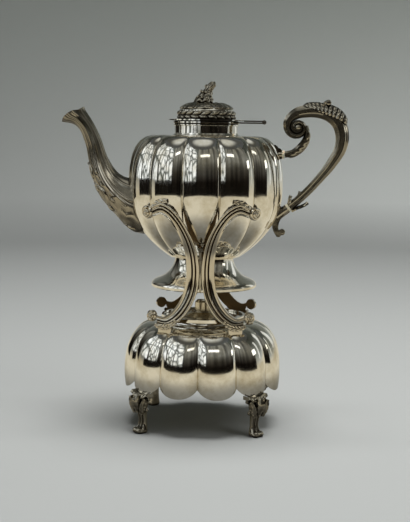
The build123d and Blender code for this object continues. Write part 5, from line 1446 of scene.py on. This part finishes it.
@dataclass
class Studio:
    """Pale sweep, soft lamps and the cards that the silver mirrors."""

    floor_radius: float = 1.9
    cove: float = 0.9
    wall_top: float = 3.2
    sweep_points: int = 96
    room_radii: tuple = (1.75, 1.78)
    room_height: float = 2.6
    card_distance: float = 1.6
    # metres above the table, and colour of the room there
    room_levels: tuple = (
        (0.0, "#0F0D0B"), (1.0, "#7E7F7A"), (0.27, "#14110D"), (0.38, "#2B2824"), (0.65, "#4E4D48"),
    )
    # name, place, size in metres and energy of each lamp
    lamps: tuple = (
        ("lamp_overhead", (0.14, 0.02, 2.3), 1.2, 58.0), ("lamp_right", (1.8, -1.2, 2.0), 1.6, 14.0),
    )

    @staticmethod
    def reach(nodes: NodeTree) -> Socket:
        """Distance from the stand's axis."""
        return nodes.vector("LENGTH", nodes.vector("MULTIPLY", nodes.place(), (1, 1, 0)), out="Value")

    def sweep_painted_light_surface(self, nodes: NodeTree) -> Socket:
        """Pale sweep with painted shade, greyer with height and darker to the left, and painted light low on
        the wall to the right; to the metal it mirrors as a glow near the stand's feet, a painted reflection
        that is dimmed closest to them as painted shadow.
        """
        height, aside = nodes.axis(nodes.place(), "Z"), nodes.axis(nodes.place(), "X")
        # painted shade: the colour greys with height
        colour = nodes.mix(nodes.spread(height, 0.0, 1.1), "#B6B8B6", "#989C96")
        # painted light low on the wall, growing to the right, and painted shade to the left
        foot = nodes.spread(height, 0.0, 0.1)
        fall = nodes.spread(height, 0.16, 0.85, 1.0, 0.25)
        right = nodes.spread(aside, -1.1, 0.8, 0.1, 0.72)
        lift = nodes.math("MULTIPLY", nodes.math("MULTIPLY", foot, fall), right)
        level = nodes.math("ADD", nodes.spread(aside, -1.3, 1.0, 0.80, 1.0), lift)
        matt = nodes.add("BsdfDiffuse", {"Color": nodes.vector("MULTIPLY", colour, level)})
        # painted reflection: to the metal the floor shows as a cream glow, dimmed near the stand as painted
        # shadow
        glow = nodes.glow("#DCD3B9", nodes.spread(self.reach(nodes), 0.14, 0.46, 0.12, 1.0, "SMOOTHSTEP"))
        glossy = nodes.add("LightPath", out="Is Glossy Ray")
        share = nodes.math("MULTIPLY", glossy, nodes.spread(height, 0.3, 0.02, 0.0, 0.75))
        return nodes.add("MixShader", {0: share, 1: matt, 2: glow})

    def room_surface(self, nodes: NodeTree) -> Socket:
        """Unlit room: near black at table height, brown and then grey above, with upright soft bands."""
        ramp = nodes.node("ValToRGB", {0: nodes.axis(nodes.place(), "Z")})
        for k, (at, code) in enumerate(self.room_levels):
            stop = ramp.color_ramp.elements[k] if k < 2 else ramp.color_ramp.elements.new(at)
            stop.position = at
            stop.color = linear(code)
        patch = nodes.noise(nodes.place((1, 1, 0.12)), 2.4, 5.0)
        return nodes.glow(ramp.outputs[0], nodes.spread(patch, 0.4, 0.64, 0.35, 1.5))

    def ceiling_surface(self, nodes: NodeTree) -> Socket:
        """Pale ceiling that falls off into the dark towards its rim."""
        return nodes.glow("#D6D8D3", nodes.spread(self.reach(nodes), 1.3, 0.5, 0.12, 0.9, "SMOOTHSTEP"))

    def window_surface(self, nodes: NodeTree) -> Socket:
        """Bright window with dark branches before it."""
        links = {"Vector": nodes.place(), "Scale": 1.9}
        branches = nodes.add("TexVoronoi", links, "Distance", feature="DISTANCE_TO_EDGE")
        open_sky = nodes.spread(nodes.noise(nodes.place(), 3.0, 5.0), 0.34, 0.56, 0.3)
        share = nodes.math("MULTIPLY", nodes.spread(branches, 0.02, 0.12), open_sky)
        return nodes.glow(nodes.mix(share, "#3E443E", "#EEF4F8"), 1.4)

    def mirrored_only(self, obj: Obj, material: Material) -> None:
        """Makes a card that only mirrors in the metal."""
        dress(obj, material)
        obj.visible_camera = obj.visible_diffuse = obj.visible_shadow = False

    def card(self, name: str, middle: Vector, turn: Matrix, width: float, height: float,
             material: Material) -> None:
        """Sets up a flat card.

        Args:
            name: of the card.
            middle: its place, in metres.
            turn: from lying flat to its own position.
            width: metres.
            height: metres.
            material: its surface.
        """
        Bench.clear()
        bpy.ops.mesh.primitive_plane_add(size=1, location=(0, 0, 0))
        obj = bpy.context.object
        obj.name = name
        obj.data.transform(Matrix.Translation(middle) @ turn @ Matrix.Diagonal((width, height, 1, 1)))
        self.mirrored_only(obj, material)

    def facing_card(self, name: str, azimuth: float, elevation: float, distance: float,
                    *rest: object) -> None:
        """Sets up a card that faces the kettle, by angles in degrees and its distance in metres."""
        a, e = math.radians(azimuth), math.radians(elevation)
        away = Vector((math.sin(a) * math.cos(e), -math.cos(a) * math.cos(e), math.sin(e)))
        turn = away.to_track_quat("Z", "Y").to_matrix().to_4x4()
        self.card(name, Vector((0, 0, 0.2)) + away * distance, turn, *rest)

    def upright_card(self, name: str, azimuth: float, low: float, high: float, width: float,
                     material: Material) -> None:
        """Sets up an upright card between two heights in metres."""
        a = math.radians(azimuth)
        middle = Vector((math.sin(a), -math.cos(a), 0)) * self.card_distance
        middle.z = (low + high) / 2
        turn = Matrix.Rotation(a, 4, "Z") @ Matrix.Rotation(math.radians(90), 4, "X")
        self.card(name, middle, turn, width, high - low, material)

    def sweep(self) -> None:
        """The round floor that curves up into the wall."""
        profile = [(0.15, 0.0), (0.8, 0.0), (self.floor_radius, 0.0)]
        for a in np.linspace(0, math.pi / 2, 13)[1:]:
            profile.append((self.floor_radius + self.cove * math.sin(a), self.cove * (1 - math.cos(a))))
        profile.append((self.floor_radius + self.cove, self.wall_top))
        rings = [ring_at(r, circle(self.sweep_points), z) / MM for r, z in profile]
        sweep = Bench.extrude("studio_sweep", rings, Ends.FIRST)
        Bench.shade(sweep, 60)
        dress(sweep, painted("studio_sweep_with_painted_light", self.sweep_painted_light_surface))

    def mirrored_room(self) -> None:
        """The room before the kettle, its windows, curtains and ceiling."""
        dark = painted("studio_room_dark", self.room_surface)
        grey = painted("studio_ceiling_grey", self.ceiling_surface)
        pale = painted("studio_curtain_pale", lambda nodes: nodes.glow("#D8DCDA", 1.1))
        white = painted("studio_light_white", lambda nodes: nodes.glow("#F4F6F2", 2.2))
        window = painted("studio_window", self.window_surface)
        # a thin curved wall, there and back, from the edge of the table upwards
        arc = np.radians(np.linspace(-178, -2, 49))
        arc, reach = np.concatenate([arc, arc[::-1]]), np.repeat(self.room_radii, len(arc))
        rings = [ring_at(reach, arc, z) / MM for z in (0.0, self.room_height)]
        self.mirrored_only(Bench.extrude("room_card", rings, Ends.NONE), dark)
        self.facing_card("ceiling_card", 0, 89, 2.4, 2.8, 2.8, grey)
        for name, azimuth, low, high, width, material in (
            ("window_front", -30, 0.30, 2.3, 0.72, window),
            ("window_left", -59, 0.28, 2.4, 0.74, window),
            ("window_left_far", -92, 0.27, 2.2, 0.8, window),
            ("mirror_right", 88, 0.55, 0.82, 0.34, white),
            ("curtain_right_far", 106, 0.22, 1.2, 0.18, pale),
            ("doorway_back_left", -128, 0.0, 1.5, 0.9, dark),
            ("curtain_back_right", 138, 0.22, 1.2, 0.4, pale),
        ):
            self.upright_card(name, azimuth, low, high, width, material)
        self.facing_card("skylight", 14, 38, 1.7, 0.95, 0.17, white)

    def build(self) -> None:
        """Sets up the sweep, the cards and the lamps."""
        self.sweep()
        self.mirrored_room()
        for name, place, size, energy in self.lamps:
            lamp = bpy.data.lights.new(name, "AREA")
            lamp.size = size
            lamp.energy = energy
            obj = bpy.data.objects.new(name, lamp)
            bpy.context.scene.collection.objects.link(obj)
            obj.location = place
            obj.rotation_euler = (Vector((0, 0, 0.1)) - Vector(place)).to_track_quat("-Z", "Y").to_euler()
            obj.visible_glossy = False
        world = bpy.data.worlds.new("studio_air")
        bpy.context.scene.world = world
        nodes = NodeTree(world)
        nodes.node("OutputWorld", {"Surface": nodes.add("Background", {"Color": "#8F9496", "Strength": 0.3})})
        bpy.context.scene.view_settings.view_transform = "Standard"


@dataclass
class Camera:
    """The camera, at the photograph's angle. Places are in millimetres, lengths in the picture in pixels."""

    distance: float = 1188.0
    height: float = 315.8
    azimuth: float = 3.6
    pitch: float = -6.74
    roll: float = 0.9
    focal: float = 1108.0
    image_width: float = 410.0
    axis_shift: float = 0.8
    sensor: float = 36.0

    def build(self) -> None:
        """Sets the camera up."""
        data = bpy.data.cameras.new("camera")
        data.sensor_fit = "HORIZONTAL"
        data.sensor_width = self.sensor
        data.lens = self.focal / self.image_width * self.sensor
        data.clip_end = 50.0
        obj = bpy.data.objects.new("camera", data)
        bpy.context.scene.collection.objects.link(obj)
        a = math.radians(self.azimuth)
        place = Vector((math.sin(a), -math.cos(a), 0)) * self.distance * MM
        place.z = self.height * MM
        aside = math.atan2(self.axis_shift, self.focal)
        turn = Matrix.Rotation(a - aside, 4, "Z") @ Matrix.Rotation(math.radians(90 + self.pitch), 4, "X")
        obj.matrix_world = Matrix.Translation(place) @ turn @ Matrix.Rotation(math.radians(self.roll), 4, "Z")
        bpy.context.scene.camera = obj


def main() -> None:
    """Builds the pieces in order."""
    logging.basicConfig(level=logging.INFO, format="%(message)s")
    finishes = Finishes()
    finishes.dress_cad()
    belly = KettleBelly()
    belly.build(finishes)
    dome = StandDome()
    dome.build(finishes)
    Spout(belly).build(finishes)
    Handle().build(finishes)
    Support(belly, dome).build(finishes)
    Foot().build(finishes)
    LidOrnament().build(finishes)
    Studio().build()
    Camera().build()


if __name__ == "__main__":
    main()
